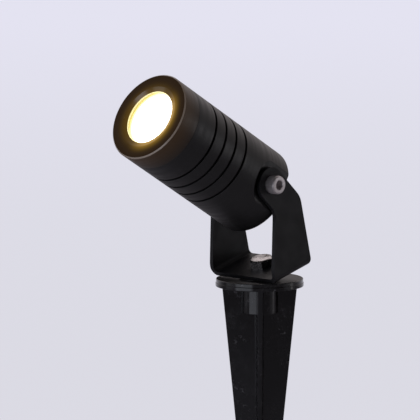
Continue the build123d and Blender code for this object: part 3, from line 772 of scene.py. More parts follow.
RUBBED_ALUMINIUM = (0.10, 0.095, 0.09)
RUBBED_BLACK = (0.08, 0.08, 0.085)
# paler colour of the front chamfer: a painted highlight
CHAMFER_PAINTED_HIGHLIGHT = (0.40, 0.35, 0.30)
STAIN = (0.06, 0.05, 0.045)
# Painted light: emission colours that paint the window's glow onto the bezel.
PAINTED_SPILL_FAR = (0.017, 0.0075, 0.001)         # painted glow: the window's warm spill over the whole face, as emission
PAINTED_SPILL_NEAR = (0.48, 0.27, 0.028)           # and the most painted glow, beside the window
PAINTED_LIP_LIGHT = (0.95, 0.80, 0.30)             # painted glow on the bezel's lip, round the window
PAINTED_SPILL_SIDE = (0.91, 0.42, 0.0)             # direction in which more of the painted glow falls


def anodised(name, tint, additions=()):
    """Black anodised aluminium with turning marks, faint dust and outer edges rubbed paler.

    Each addition is a function that changes the finish further.
    """
    colours = bpy.context.scene.spotlight_finish
    finish = Finish(name, place=HEAD_PLACE)
    marks = finish.group("Turning Marks", Marks_per_Metre=5200.0)
    dust = finish.group("Dust", Scale=900.0, Amount=0.5)
    wear = finish.group("Edge Wear", Radius=0.25 * MM)
    streaky = finish.varied(marks.outputs["Streak"], tint, 0.75, 1.25)
    dusty = finish.overlaid(streaky, dust.outputs["Clouds"], 0.03, colours.dust)
    finish.base(finish.overlaid(dusty, wear.outputs["Worn"], 0.25, RUBBED_ALUMINIUM))
    rough = finish.between(marks.outputs["Streak"], 0.34, 0.44)
    finish.roughness(reckon(finish.tree, "MULTIPLY_ADD", dust.outputs["Clouds"], 0.08, rough))
    finish.bump(marks.outputs["Height"], 0.012 * MM, 0.5)
    for addition in additions:
        addition(finish)
    return finish.material


def painted_window_glow(finish):
    """Painted glow: emission on the bezel for the warm light that the window spills, strongest beside it and low
    down.
    """
    head = bpy.context.scene.spotlight_head
    tree = finish.tree
    depth, radius = height_and_radius(tree, finish.coordinates)
    near = reckon(tree, "POWER", spread(tree, radius, HEAD_RADIUS * 0.98, head.window - 0.4 * MM), 2.4)
    low = along(tree, finish.coordinates, PAINTED_SPILL_SIDE)
    lean = spread(tree, low, 0.05 * head.window, 0.85 * head.window, 0.17, 1.0)
    face = finish.blend(lean, PAINTED_SPILL_FAR, finish.blend(near, PAINTED_SPILL_FAR, PAINTED_SPILL_NEAR))
    lip = spread(tree, radius, head.window + 0.12 * MM, head.window + 0.04 * MM)
    veil = spread(tree, depth, depths("bezel")[1] * 0.8, 0.0)
    finish.lit(finish.blend(veil, (0.0, 0.0, 0.0), finish.blend(lip, face, PAINTED_LIP_LIGHT)), 1.0)


def shiny_cuts_and_painted_highlight(finish):
    """The bezel's countersink and front chamfer, cut after the coat, shine more than its face. The chamfer's paler
    colour is a painted highlight along the front edge.
    """
    head = bpy.context.scene.spotlight_head
    tree, inputs = finish.tree, finish.shader.inputs
    depth, radius = height_and_radius(tree, finish.coordinates)
    cone = reckon(tree, "LESS_THAN", radius, head.mouth + 0.1 * MM)
    rim = reckon(tree, "GREATER_THAN", radius, HEAD_RADIUS - head.bezel_chamfer)
    chamfer = reckon(tree, "MULTIPLY", rim, reckon(tree, "LESS_THAN", depth, head.bezel_chamfer))
    coat_rough = inputs["Roughness"].links[0].from_socket
    finish.roughness(spread(tree, reckon(tree, "MAXIMUM", cone, chamfer), 0.0, 1.0, coat_rough, 0.16))
    coat = inputs["Base Color"].links[0].from_socket
    # painted highlight: the chamfer gets a paler colour
    finish.base(finish.overlaid(coat, chamfer, 0.8, CHAMFER_PAINTED_HIGHLIGHT))
    front = reckon(tree, "LESS_THAN", depth, 0.1 * MM)
    calm = spread(tree, front, 0.0, 1.0, 0.5, 0.22)
    finish.specular(spread(tree, cone, 0.0, 1.0, calm, 0.9))


def powder_coat(name):
    """Fine matt black powder coat, paler where its edges rub."""
    colours = bpy.context.scene.spotlight_finish
    finish = Finish(name, specular=0.36)
    grain = finish.group("Grain", Scale=2600.0)
    dust = finish.group("Dust", Scale=1100.0, Amount=0.6)
    wear = finish.group("Edge Wear", Radius=0.3 * MM)
    coat = finish.varied(grain.outputs["Patch"], colours.coat, 0.85, 1.2)
    dusty = finish.overlaid(coat, dust.outputs["Clouds"], 0.02, colours.dust)
    finish.base(finish.overlaid(dusty, wear.outputs["Worn"], 0.2, RUBBED_BLACK))
    finish.roughness(finish.between(grain.outputs["Patch"], 0.46, 0.56))
    finish.bump(grain.outputs["Height"], 0.02 * MM, 0.5)
    return finish.material


def moulded_plastic(name):
    """Glossy black plastic with dust specks, faint scuffs and a little orange peel, matt on top."""
    colours = bpy.context.scene.spotlight_finish
    finish = Finish(name)
    tree = finish.tree
    grain = finish.group("Grain", Scale=700.0)
    dust = finish.group("Dust", Scale=520.0, Amount=1.0)
    scuffs = finish.group("Dust", Scale=1700.0, Amount=1.0)
    wear = finish.group("Edge Wear", Radius=0.3 * MM)
    pale = lighter(colours.dust, 2.0)
    plastic = finish.varied(grain.outputs["Patch"], colours.plastic, 0.8, 1.25)
    cloudy = finish.overlaid(plastic, scuffs.outputs["Clouds"], 0.10, pale)
    specked = finish.overlaid(cloudy, dust.outputs["Specks"], 0.35, pale)
    finish.base(finish.overlaid(specked, wear.outputs["Worn"], 0.12, RUBBED_BLACK))
    top = spread(tree, facing_up(tree), 0.85, 0.97)
    rough = finish.between(grain.outputs["Patch"], 0.10, 0.17)
    scuffed = reckon(tree, "MULTIPLY_ADD", scuffs.outputs["Clouds"], 0.15, rough)
    finish.roughness(spread(tree, top, 0.0, 1.0, scuffed, 0.5))
    finish.specular(spread(tree, top, 0.0, 1.0, 0.5, 0.4))
    finish.bump(grain.outputs["Height"], 0.03 * MM, 0.2)
    return finish.material


def bare_steel(name, stained, dark, bright):
    """Stainless steel in darker and brighter patches, with fine grain and dark stains; on the screws the dark
    patches are also painted dark reflections.
    """
    colours = bpy.context.scene.spotlight_finish
    finish = Finish(name, metallic=1.0)
    tree = finish.tree
    grain = finish.group("Grain", Scale=3000.0)
    stains = finish.group("Dust", Scale=7000.0, Amount=2.6)
    patches = spread(tree, grain.outputs["Patch"], 0.42, 0.58)
    steel = finish.varied(patches, colours.steel, dark, bright)
    finish.base(finish.overlaid(steel, stains.outputs["Clouds"], stained, STAIN))
    rough = finish.between(grain.outputs["Height"], 0.12, 0.24)
    finish.roughness(reckon(tree, "MULTIPLY_ADD", stains.outputs["Clouds"], 0.2, rough))
    finish.bump(grain.outputs["Height"], 0.06 * MM, 1.0)
    return finish.material


def clear_glass(name, tint):
    """Clear glass with a trace of haze."""
    finish = Finish(name, place=HEAD_PLACE)
    grain = finish.group("Grain", Scale=300.0)
    finish.base(finish.varied(grain.outputs["Patch"], tint, 1.0, 0.97))
    finish.roughness(spread(finish.tree, grain.outputs["Patch"], 0.2, 0.8, 0.0, 0.02))
    finish.shader.inputs["Transmission Weight"].default_value = 1.0
    finish.shader.inputs["IOR"].default_value = 1.5
    return finish.material


def lit_lens(name):
    """The lit lens: white in the middle, and warmer and less bright at its rim."""
    head, colours = bpy.context.scene.spotlight_head, bpy.context.scene.spotlight_finish
    finish = Finish(name, place=HEAD_PLACE)
    tree = finish.tree
    radius = height_and_radius(tree, finish.coordinates)[1]
    rim = spread(tree, radius, head.lens_radius * 0.80, head.lens_radius)
    grain = finish.group("Grain", Scale=1800.0)
    finish.base(finish.blend(grain.outputs["Patch"], (0.8, 0.78, 0.7), (0.9, 0.88, 0.8)))
    finish.roughness(finish.between(grain.outputs["Height"], 0.2, 0.3))
    finish.lit(finish.blend(rim, (1.0, 0.97, 0.86), colours.glow), spread(tree, rim, 0.0, 1.0, 4.0, 1.0))
    return finish.material


def plain_part(name, tint, rough, metallic=0.0, scale=1500.0):
    """A finish for a small part: its tint in soft patches, with fine grain."""
    finish = Finish(name, metallic=metallic)
    grain = finish.group("Grain", Scale=scale)
    finish.base(finish.varied(grain.outputs["Patch"], tint, 0.85, 1.15))
    finish.roughness(finish.between(grain.outputs["Patch"], rough - 0.06, rough + 0.06))
    finish.bump(grain.outputs["Height"], 0.01 * MM, 0.4)
    return finish.material


def painted_glow_part(name, tint, glow, strength):
    """A pale part beside the lens, with a painted glow for the lamp's light falling on it."""
    finish = Finish(name, specular=0.4)
    grain = finish.group("Grain", Scale=1500.0)
    finish.base(finish.varied(grain.outputs["Patch"], tint, 0.9, 1.1))
    finish.roughness(finish.between(grain.outputs["Patch"], 0.45, 0.6))
    finish.lit(finish.varied(grain.outputs["Height"], glow, 0.85, 1.0), strength)
    return finish.material


# Finish of each node that keeps its solid: tint, roughness and metallic.
INNER_FINISHES = {
    "swivel_o_ring": ((0.02, 0.02, 0.02), 0.6, 0.0),
    "swivel_snap_ring": ((0.45, 0.45, 0.46), 0.3, 1.0),
    "pivot_washers": ((0.03, 0.03, 0.03), 0.45, 0.0),
    "bezel_o_ring": ((0.02, 0.02, 0.02), 0.6, 0.0),
    "led_board": ((0.82, 0.82, 0.8), 0.35, 0.0),
    "led_emitter": ((0.95, 0.75, 0.2), 0.3, 0.0),
    "led_board_screws": ((0.6, 0.6, 0.6), 0.3, 1.0),
    "thermal_pad": ((0.5, 0.52, 0.56), 0.7, 0.0),
    "heat_plate": ((0.7, 0.7, 0.71), 0.35, 1.0),
    "driver_board": ((0.02, 0.16, 0.06), 0.3, 0.0),
    "driver_standoffs": ((0.75, 0.55, 0.25), 0.3, 1.0),
    "driver_screws": ((0.6, 0.6, 0.6), 0.3, 1.0),
    "driver_transformer": ((0.7, 0.5, 0.06), 0.45, 0.0),
    "driver_capacitor": ((0.02, 0.03, 0.1), 0.25, 0.0),
    "driver_rectifier": ((0.02, 0.02, 0.02), 0.5, 0.0),
    "driver_terminal": ((0.04, 0.25, 0.09), 0.35, 0.0),
    "lead_positive": ((0.4, 0.02, 0.015), 0.45, 0.0),
    "lead_negative": ((0.02, 0.02, 0.02), 0.45, 0.0),
    "gland_washer": ((0.02, 0.02, 0.02), 0.65, 0.0),
    "gland_seal": ((0.02, 0.02, 0.02), 0.65, 0.0),
}

# Finish of each such node with a painted glow for the lamp's light on it: tint, glow and its strength.
PAINTED_GLOW_FINISHES = {
    "glass_gasket": ((0.5, 0.45, 0.3), (1.0, 0.82, 0.25), 0.55),
    "lens_holder": ((0.30, 0.26, 0.14), (1.0, 0.80, 0.22), 0.75),
}


# ---------------------------------------------------------------- the pieces


class SPOTLIGHT_OT_inner_parts(bpy.types.Operator):
    """Give the parts inside the lamp their finishes, two of them with a painted glow"""

    bl_idname = "spotlight.inner_parts"
    bl_label = "Inner Parts"

    def execute(self, context):
        for maker, finishes in ((plain_part, INNER_FINISHES), (painted_glow_part, PAINTED_GLOW_FINISHES)):
            for node, values in finishes.items():
                materials = NODES[node].data.materials
                materials.clear()
                materials.append(maker(f"{node}_finish", *values))
        return {"FINISHED"}


def housing_outline(head):
    """The housing's outline: the outside with its grooves, then the bores back to the front."""
    start, end = depths("barrel")
    bezel_end, plate_end = depths("bezel")[1], depths("heat_plate")[1]
    edge = head.edge_break
    groove_floor = HEAD_RADIUS - head.groove_depth
    outline = [(HEAD_RADIUS, start, edge)]
    for index in range(head.groove_count):
        middle = head.groove_first + index * head.groove_pitch
        near, far = middle - head.groove_width / 2, middle + head.groove_width / 2
        outline += [(HEAD_RADIUS, near, edge), (groove_floor, near, edge)]
        outline += [(groove_floor, far, edge), (HEAD_RADIUS, far, edge)]
    return outline + [
        (HEAD_RADIUS, end, head.rear_round), (head.passage, end, edge),
        (head.passage, head.driver_end, edge), (head.driver_bore, head.driver_end, 0),
        (head.driver_bore, plate_end, 0), (head.bore, plate_end, 0),
        (head.bore, bezel_end, 0), (head.bezel_thread, bezel_end, 0),
        (head.bezel_thread, start, edge),
    ]


def recess_cutter(head, side):
    """What is milled away round a pivot: round towards the front, and open at the rear."""
    far = 2 * HEAD_RADIUS
    round_end = arc((0, 0), head.recess_radius, pi / 2, pi, HOLE_STEPS)
    tail = [(far, -head.recess_radius), (far, head.recess_radius)]
    return prism("recess", round_end + tail, head.recess_floor, far, placed(PIVOT, -AIM, SIDEWAYS * side))


class SPOTLIGHT_OT_housing(bpy.types.Operator):
    """Make the turned housing with its grooves and milled flats"""

    bl_idname = "spotlight.housing"
    bl_label = "Housing"

    def execute(self, context):
        head = context.scene.spotlight_head
        body = turned("housing", softened(housing_outline(head)), HEAD_PLACE)
        cutters = [recess_cutter(head, side) for side in (-1, 1)]
        piece = linked("turned_housing", combined(body, cutters, "DIFFERENCE"))
        material = kept("anodised_housing", anodised, tint=context.scene.spotlight_finish.anodised)
        hand_over(piece, "head", "barrel_anodised", material, "barrel")
        return {"FINISHED"}


class SPOTLIGHT_OT_bezel(bpy.types.Operator):
    """Make the screwed front ring with its countersunk window"""

    bl_idname = "spotlight.bezel"
    bl_label = "Bezel"

    def execute(self, context):
        head = context.scene.spotlight_head
        edge = head.edge_break
        glass_back, end, seam = depths("front_glass")[1], depths("bezel")[1], depths("barrel")[0]
        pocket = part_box("front_glass")[1].x + head.glass_play
        outline = [
            (head.window, head.lip, 0), (head.window, head.countersink, edge / 2), (head.mouth, 0, edge),
            (HEAD_RADIUS - head.bezel_chamfer, 0, edge), (HEAD_RADIUS, head.bezel_chamfer, edge),
            (HEAD_RADIUS, seam, edge), (head.bezel_thread, seam, 0), (head.bezel_thread, end, 0),
            (head.bore, end, 0), (head.bore, glass_back, 0), (pocket, glass_back, 0), (pocket, head.lip, 0),
        ]
        piece = linked("front_bezel", turned("bezel", softened(outline), HEAD_PLACE))
        # The bezel's browner tint is painted warm light.
        material = kept("anodised_bezel", anodised, tint=context.scene.spotlight_finish.anodised_with_painted_warmth,
                        additions=(painted_window_glow, shiny_cuts_and_painted_highlight))
        hand_over(piece, "head", "bezel_anodised", material, "bezel")
        return {"FINISHED"}


def lens_outline(head):
    """The collimator's outline: a rim, a bowl that narrows to the rear, and a hollow in its rear."""
    front, back = depths("lens")
    face, rim_end = front + 0.1 * MM, front + head.lens_rim
    waist = front + 0.55 * (back - front)
    ceiling = back - head.lens_hollow_depth
    return [
        (0, face, 0), (head.lens_radius - head.lens_step, face, 0.1 * MM),
        (head.lens_radius, front, 0.1 * MM), (head.lens_radius, rim_end, 0),
        (head.lens_shoulder, rim_end, 0.2 * MM), (head.lens_waist, waist, 3 * MM),
        (head.lens_foot, back, 0), (head.lens_hollow, back, 0.1 * MM),
        (head.lens_hollow - 0.3 * MM, ceiling + 0.2 * MM, 0.8 * MM), (0, ceiling, 0),
    ]


class SPOTLIGHT_OT_window(bpy.types.Operator):
    """Make the clear front glass and the lit lens behind it"""

    bl_idname = "spotlight.window"
    bl_label = "Glass and Lens"

    def execute(self, context):
        head = context.scene.spotlight_head
        near, far = depths("front_glass")
        radius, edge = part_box("front_glass")[1].x, head.glass_edge
        outline = [(0, near, 0), (radius, near, edge), (radius, far, edge), (0, far, 0)]
        glass = linked("window_glass", turned("glass", softened(outline), HEAD_PLACE))
        material = kept("clear_glass", clear_glass, tint=(0.97, 0.99, 0.96))
        hand_over(glass, "head", "front_glass", material, "front_glass")
        lens = linked("collimator_lens", turned("lens", softened(lens_outline(head), 6), HEAD_PLACE))
        hand_over(lens, "head", "lens_acrylic", kept("lit_lens", lit_lens), "lens")
        return {"FINISHED"}


def yoke_places(yoke):
    """Three places at the bolt's hole in the floor's underside: Z up, Z to the front, Z to -X."""
    forward = Vector((0, -cos(yoke.lean), -sin(yoke.lean)))
    upward = Vector((0, -sin(yoke.lean), cos(yoke.lean)))
    point = Vector((0, yoke.bolt_back, FLANGE_TOP + yoke.floor_height))
    directions = ((SIDEWAYS, upward), (SIDEWAYS, forward), (forward, -SIDEWAYS))
    return [placed(point, local_x, local_z) for local_x, local_z in directions]


def sheet_section(yoke, top):
    """The bent sheet seen from the front: its outer line, and its inner line back again."""
    lines = []
    for half_width, floor, radius in ((EAR_OUTER, 0, yoke.bend + yoke.sheet),
                                      (EAR_OUTER - yoke.sheet, yoke.sheet, yoke.bend)):
        line = [(-half_width, top)]
        for side, first in ((-1, pi), (1, 1.5 * pi)):
            middle = (side * (half_width - radius), floor + radius)
            line += arc(middle, radius, first, pi / 2, 12)
        lines.append(line + [(half_width, top)])
    return lines[0] + lines[1][::-1]


def arm_outline(yoke, pivot):
    """The yoke seen from its side: a leg that leans forwards above its knee, with a round ear."""
    upward = Vector((sin(yoke.arm_lean), cos(yoke.arm_lean)))
    across = Vector((upward.y, -upward.x)) * yoke.arm_radius
    front, back = pivot + across, pivot - across
    elbow = front - upward * ((front.y - yoke.knee_front) / upward.y)
    heel = back - upward * ((back.y - yoke.knee_back) / upward.y)
    ear = [(x, y, 0) for x, y in arc(pivot, yoke.arm_radius, -yoke.arm_lean, pi, 40)]
    return [
        (yoke.floor_front, 0, yoke.toe_round), (yoke.leg_front, yoke.leg_front_rise, yoke.foot_round),
        (*elbow, yoke.elbow_round), *ear, (*heel, yoke.elbow_round),
        (-yoke.floor_back, 0, yoke.heel_round),
    ]


class SPOTLIGHT_OT_yoke(bpy.types.Operator):
    """Make the yoke, bent from one sheet, with its edges broken"""

    bl_idname = "spotlight.yoke"
    bl_label = "Yoke"

    def execute(self, context):
        yoke = context.scene.spotlight_yoke
        upright, lengthwise, sidelong = yoke_places(yoke)
        top = yoke.pivot_height + 2 * yoke.arm_radius
        wide = 2 * EAR_OUTER
        pivot = Vector((yoke.pivot_forward, yoke.pivot_height))
        sheet = prism("sheet", sheet_section(yoke, top), -top, top, lengthwise)
        slab = prism("slab", softened(arm_outline(yoke, pivot), 6), -wide, wide, sidelong)
        pivot_hole = circle(yoke.screw_thread + yoke.pivot_play, HOLE_STEPS, pivot)
        floor_hole = circle(yoke.bolt_thread + yoke.floor_play, HOLE_STEPS)
        drills = [prism("drill", pivot_hole, -wide, wide, sidelong),
                  prism("drill", floor_hole, -top, 2 * yoke.sheet, upright)]
        mesh = combined(combined(sheet, [slab], "INTERSECT"), drills, "DIFFERENCE")
        piece = linked("folded_yoke", mesh)
        edges_broken(piece, yoke.edge_break)
        hand_over(piece, "yoke", "bracket_paint", kept("powder_coat", powder_coat), "yoke_bracket")
        return {"FINISHED"}


class SPOTLIGHT_OT_floor_bolt(bpy.types.Operator):
    """Make the hexagon bolt in the yoke's floor"""

    bl_idname = "spotlight.floor_bolt"
    bl_label = "Floor Bolt"

    def execute(self, context):
        yoke = context.scene.spotlight_yoke
        place = yoke_places(yoke)[0]
        low, high = yoke.sheet, yoke.sheet + yoke.bolt_head
        corner, face = yoke.bolt_flats / 2 / cos(pi / 6), yoke.bolt_face / 2
        shoulder = high - (corner - face) * sin(pi / 6)
        wide = 1.01 * corner
        head = prism("head", hexagon(yoke.bolt_flats, yoke.bolt_turn), low, high, place)
        cone = [(0, low), (wide, low), (wide, shoulder), (face, high), (0, high)]
        head = combined(head, [small_turned("cone", cone, place)], "INTERSECT")
        thread, inside, tail = yoke.bolt_thread, low + MM, low - yoke.bolt_length
        outline = [(0, inside, 0), (thread, inside, 0), (thread, tail, yoke.thread_end), (0, tail, 0)]
        shank = small_turned("shank", softened(outline), place)
        piece = linked("floor_bolt", combined(head, [shank], "UNION"))
        edges_broken(piece, yoke.bolt_edge)
        material = kept("stained_steel", bare_steel, stained=0.9, dark=0.6, bright=1.25)
        hand_over(piece, "yoke", "bolt_steel", material, "yoke_bolt")
        return {"FINISHED"}


def socket_screw(yoke, core):
    """A pivot screw along Z, with the underside of its head at the origin."""
    head, tail, thread = yoke.screw_head, -yoke.screw_length, yoke.screw_thread
    outline = [(0, head, 0), (core, head, yoke.screw_round), (core, 0, yoke.screw_base),
               (thread, 0, 0), (thread, tail, yoke.thread_end), (0, tail, 0)]
    body = small_turned("screw", softened(outline))
    socket, floor = yoke.screw_socket, head - yoke.screw_socket_depth
    hollow = prism("socket", hexagon(socket, SOCKET_TURN), floor, head + MM)
    drill_point, drill_top, drill_radius = floor - 0.6 * MM, floor + 0.1 * MM, 0.45 * socket
    drill = [(0, drill_point), (drill_radius, drill_top), (0, drill_top)]
    flare_low, flare_high = head - 0.35 * MM, head + 0.05 * MM
    flare_in, flare_out = 0.52 * socket, 0.6 * socket
    flare = [(0, flare_low), (flare_in, flare_low), (flare_out, flare_high), (0, flare_high)]
    cuts = [hollow, small_turned("drill", drill), small_turned("flare", flare)]
    return linked("socket_screws", combined(body, cuts, "DIFFERENCE"))


class SPOTLIGHT_OT_pivot_screws(bpy.types.Operator):
    """Make the two knurled socket screws of the pivot"""

    bl_idname = "spotlight.pivot_screws"
    bl_label = "Pivot Screws"

    def execute(self, context):
        yoke = context.scene.spotlight_yoke
        # The screws' steel goes down to a tenth of its colour in patches: partly tone that differs, partly painted
        # dark reflections.
        material = kept("screw_steel", bare_steel, stained=0.6, dark=0.1, bright=1.0)
        radius, core = yoke.screw_head_radius, yoke.screw_head_radius - yoke.knurl
        screws = socket_screw(yoke, core)
        inside, half = core - yoke.knurl, 0.55 * pi * radius / yoke.knurls
        rib = [(inside, -half), (core, -half), (radius, 0), (core, half), (inside, half)]
        ribbed(screws, rib, 0.5 * MM, yoke.screw_head - 0.7 * MM, yoke.knurls, material)
        screws.data.transform(placed(Vector((EAR_OUTER, 0, 0)), Vector((0, 1, 0)), SIDEWAYS))
        copied_round(screws, 2, 0.0, 0.0, material, Matrix.Translation(PIVOT))
        hand_over(screws, "head", "screw_steel", material, "pivot_screws")
        return {"FINISHED"}


class SPOTLIGHT_OT_swivel(bpy.types.Operator):
    """Make the slanted seat that turns in the spike"""

    bl_idname = "spotlight.swivel"
    bl_label = "Swivel Seat"

    def execute(self, context):
        scene = context.scene
        spike, yoke, swivel = scene.spotlight_spike, scene.spotlight_yoke, scene.spotlight_swivel
        floor_place = yoke_places(yoke)[0]
        radius, stem = spike.seat_hole - swivel.play, spike.stem_hole - swivel.play
        bottom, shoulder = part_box("swivel_seat")[0].z, FLANGE_TOP - spike.seat_sink
        top = FLANGE_TOP + 3 * yoke.floor_height
        outline = [(0, bottom, 0), (stem, bottom, swivel.stem_round), (stem, shoulder, 0),
                   (radius, shoulder, swivel.seat_round), (radius, top, 0), (0, top, 0)]
        body = small_turned("seat", softened(outline))
        wide = 4 * radius
        square = [(-wide, -wide), (wide, -wide), (wide, wide), (-wide, wide)]
        hole = circle(yoke.bolt_thread + swivel.tap_play, HOLE_STEPS)
        cuts = [prism("above", square, 0, wide, floor_place),
                prism("drill", hole, -swivel.tap_depth, MM, floor_place)]
        brake_low, brake_high = [corner.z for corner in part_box("swivel_o_ring")]
        middle, half = (brake_low + brake_high) / 2, swivel.brake_width / 2
        snap_low, snap_high = [corner.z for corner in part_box("swivel_snap_ring")]
        for low, high, floor in ((middle - half, middle + half, swivel.brake_floor),
                                 (snap_low, snap_high, stem - swivel.snap_depth)):
            groove = [(floor, low), (stem + MM, low), (stem + MM, high), (floor, high)]
            cuts.append(small_turned("groove", groove))
        piece = linked("swivel_plug", combined(body, cuts, "DIFFERENCE"))
        material = kept("anodised_seat", anodised, tint=scene.spotlight_finish.anodised)
        hand_over(piece, "yoke", "seat_metal", material, "swivel_seat")
        return {"FINISHED"}


def one_fin(spike):
    """The open shell of one fin, along X, which closes with its copies round the axis."""
    bm = bmesh.new()
    levels = 12
    rows = []
    for level in range(levels + 1):
        t = level / levels
        reach_out = spike.fin_reach + (spike.tip_reach - spike.fin_reach) * t
        edge = (spike.fin_edge + (spike.tip_edge - spike.fin_edge) * t) / 2
        root = (spike.fin_root + (spike.tip_root - spike.fin_root) * t) / 2
        section = [(root, -root), (reach_out, -edge), (reach_out, edge), (root, root)]
        rows.append([bm.verts.new((x, y, SPIKE_TIP * t)) for x, y in section])
    for upper, lower in zip(rows, rows[1:]):
        for column in range(3):
            bm.faces.new((upper[column], upper[column + 1], lower[column + 1], lower[column]))
    for row, height in ((rows[0], 0.0), (rows[-1], SPIKE_TIP)):
        bm.faces.new([bm.verts.new((0, 0, height)), *row])
    mesh = bpy.data.meshes.new("fin")
    bm.to_mesh(mesh)
    bm.free()
    return mesh


def all_fins(spike, material):
    """The closed mesh of all fins, with its edges broken."""
    fins = linked("fin_work", one_fin(spike))
    copied_round(fins, spike.fin_count, spike.fin_yaw, FIN_MERGE, material)
    bm = bmesh.new()
    bm.from_mesh(fins.data)
    bmesh.ops.recalc_face_normals(bm, faces=bm.faces)
    bm.to_mesh(fins.data)
    bm.free()
    edges_broken(fins, spike.edge_break)
    mesh = fins.data.copy()
    bpy.data.objects.remove(fins)
    return mesh


def flange_outline(spike, shoulder, bore_end):
    """The outline of the boss, the flange with its parting step, and the two bores from above."""
    edge, step = spike.edge_break, spike.parting_step
    parting, upper = PARTING_SHARE * FLANGE_TOP, FLANGE_RADIUS - step
    return [
        (0, -spike.boss_depth, 0), (spike.boss, -spike.boss_depth, edge), (spike.boss, 0, edge),
        (FLANGE_RADIUS, 0, edge), (FLANGE_RADIUS, parting, step / 2), (upper, parting + step, step / 2),
        (upper, FLANGE_TOP, 1.4 * edge), (spike.seat_hole, FLANGE_TOP, edge / 2),
        (spike.seat_hole, shoulder, 0), (spike.stem_hole, shoulder, 0),
        (spike.stem_hole, bore_end, 0), (0, bore_end, 0),
    ]


class SPOTLIGHT_OT_spike(bpy.types.Operator):
    """Make the moulded spike with its flange, boss and tapering fins"""

    bl_idname = "spotlight.spike"
    bl_label = "Spike"

    def execute(self, context):
        spike = context.scene.spotlight_spike
        material = kept("moulded_plastic", moulded_plastic)
        shoulder = FLANGE_TOP - spike.seat_sink
        bore_end = shoulder - spike.stem_depth
        fins = all_fins(spike, material)
        bore = turned("bore", rod(spike.stem_hole, bore_end, FLANGE_TOP))
        flange = turned("flange", softened(flange_outline(spike, shoulder, bore_end)))
        mesh = combined(combined(fins, [bore], "DIFFERENCE"), [flange], "UNION")
        hand_over(linked("ground_spike", mesh), "spike", "spike_plastic", material, "spike")
        return {"FINISHED"}


def gland_body(gland):
    """The gland's body: a hexagon between the thread in the housing and the neck for the nut."""
    start, end = depths("gland_body")
    hex_start, nut_start = depths("gland_washer")[1], depths("gland_nut")[0]
    corner = gland.flats / 2 / cos(pi / 6)
    inside, shoulder = hex_start + MM, nut_start - gland.chamfer
    cone = [(0, hex_start), (corner + MM, hex_start), (corner + MM, shoulder),
            (corner - 0.5 * MM, nut_start), (0, nut_start)]
    core = [(0, start, 0), (gland.thread, start, gland.thread_round), (gland.thread, inside, 0),
            (gland.neck, inside, 0), (gland.neck, end, gland.soft), (0, end, 0)]
    seal_start = depths("gland_seal")[0]
    hollow = [(0, start - MM), (gland.cord_passage, start - MM), (gland.cord_passage, seal_start),
              (gland.seal_bore, seal_start), (gland.seal_bore, end + MM), (0, end + MM)]
    mesh = prism("hexagon", hexagon(gland.flats, pi / 6), hex_start, nut_start)
    mesh = combined(mesh, [small_turned("cone", cone)], "INTERSECT")
    mesh = combined(mesh, [small_turned("core", softened(core))], "UNION")
    mesh = combined(mesh, [small_turned("hollow", hollow)], "DIFFERENCE")
    piece = linked("gland_hexagon", mesh)
    edges_broken(piece, gland.edge_break)
    return piece


def gland_nut(gland, material):
    """The gland's domed nut with its grip ribs."""
    start, end = depths("gland_nut")
    radius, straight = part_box("gland_nut")[1].x, start + gland.nut_straight
    core, inside = radius - gland.rib, radius - 2 * gland.rib
    outline = [(gland.nut_bore, start, 0), (core, start, gland.soft), (core, straight, gland.dome),
               (gland.nut_nose, end, gland.nose_round), (gland.nut_mouth, end, gland.mouth_round),
               (gland.nut_bore, straight, 0)]
    piece = linked("gland_cap", small_turned("cap", softened(outline, 6)))
    half = gland.rib_width / 2
    rib = [(inside, -half), (core, -half), (radius, -half / 2)]
    rib += [(x, -y) for x, y in reversed(rib)]
    ribbed(piece, rib, start + gland.rib, straight - gland.rib, gland.ribs, material)
    return piece


class SPOTLIGHT_OT_gland(bpy.types.Operator):
    """Make the cord's gland on the lamp's rear"""

    bl_idname = "spotlight.gland"
    bl_label = "Gland"

    def execute(self, context):
        gland = context.scene.spotlight_gland
        material = kept("gland_plastic", plain_part, tint=(0.012, 0.012, 0.013), rough=0.4, scale=1200.0)
        for node, piece in (("gland_body", gland_body(gland)), ("gland_nut", gland_nut(gland, material))):
            piece.data.transform(HEAD_PLACE)
            hand_over(piece, "head", "gland_plastic", material, node)
        return {"FINISHED"}


# ---------------------------------------------------------------- camera, floor and light


# Each soft box: degrees round from the camera, degrees up, metres away, width, height in metres,
# how bright it looks, and its tint.
SOFTBOXES = {
    "left_box": (-43, 8, 0.7, 0.64, 0.62, 1.2, (0.86, 0.90, 1.0)),
    "side_box": (-88, 2, 1.1, 0.35, 0.70, 0.5, (0.93, 0.95, 1.0)),
    "right_box": (84, 4, 1.1, 0.70, 0.90, 0.22, (0.93, 0.95, 1.0)),
    "right_strip": (93, 0, 1.1, 0.07, 0.50, 2.4, (1.0, 0.97, 0.97)),
    "back_box": (176, 42, 1.1, 1.20, 0.75, 0.42, (1.0, 0.90, 0.89)),
}
LIT_POINT = Vector((0, -0.02, 0.03))       # what the soft boxes face, between the head and the yoke
FLOOR_RADIUS = 12.0                        # in metres, so that its edge is out of sight
FILL_TINT = (1.0, 0.92, 0.93)              # of the even light from all round


def outward(around, up):
    """The direction at an angle round from the front, and an angle up."""
    return Vector((sin(around) * cos(up), -cos(around) * cos(up), sin(up)))


def softbox(name, direction, away, width, height, glow, tint):
    """A soft area light that faces the spotlight from a direction."""
    light = bpy.data.lights.new(name, "AREA")
    light.shape = "RECTANGLE"
    light.size = width
    light.size_y = height
    light.energy = glow * pi * width * height
    light.color = tint
    box = bpy.data.objects.new(name, light)
    box.location = LIT_POINT + away * direction
    box.rotation_euler = (-direction).to_track_quat("-Z", "Y").to_euler()
    bpy.context.scene.collection.objects.link(box)


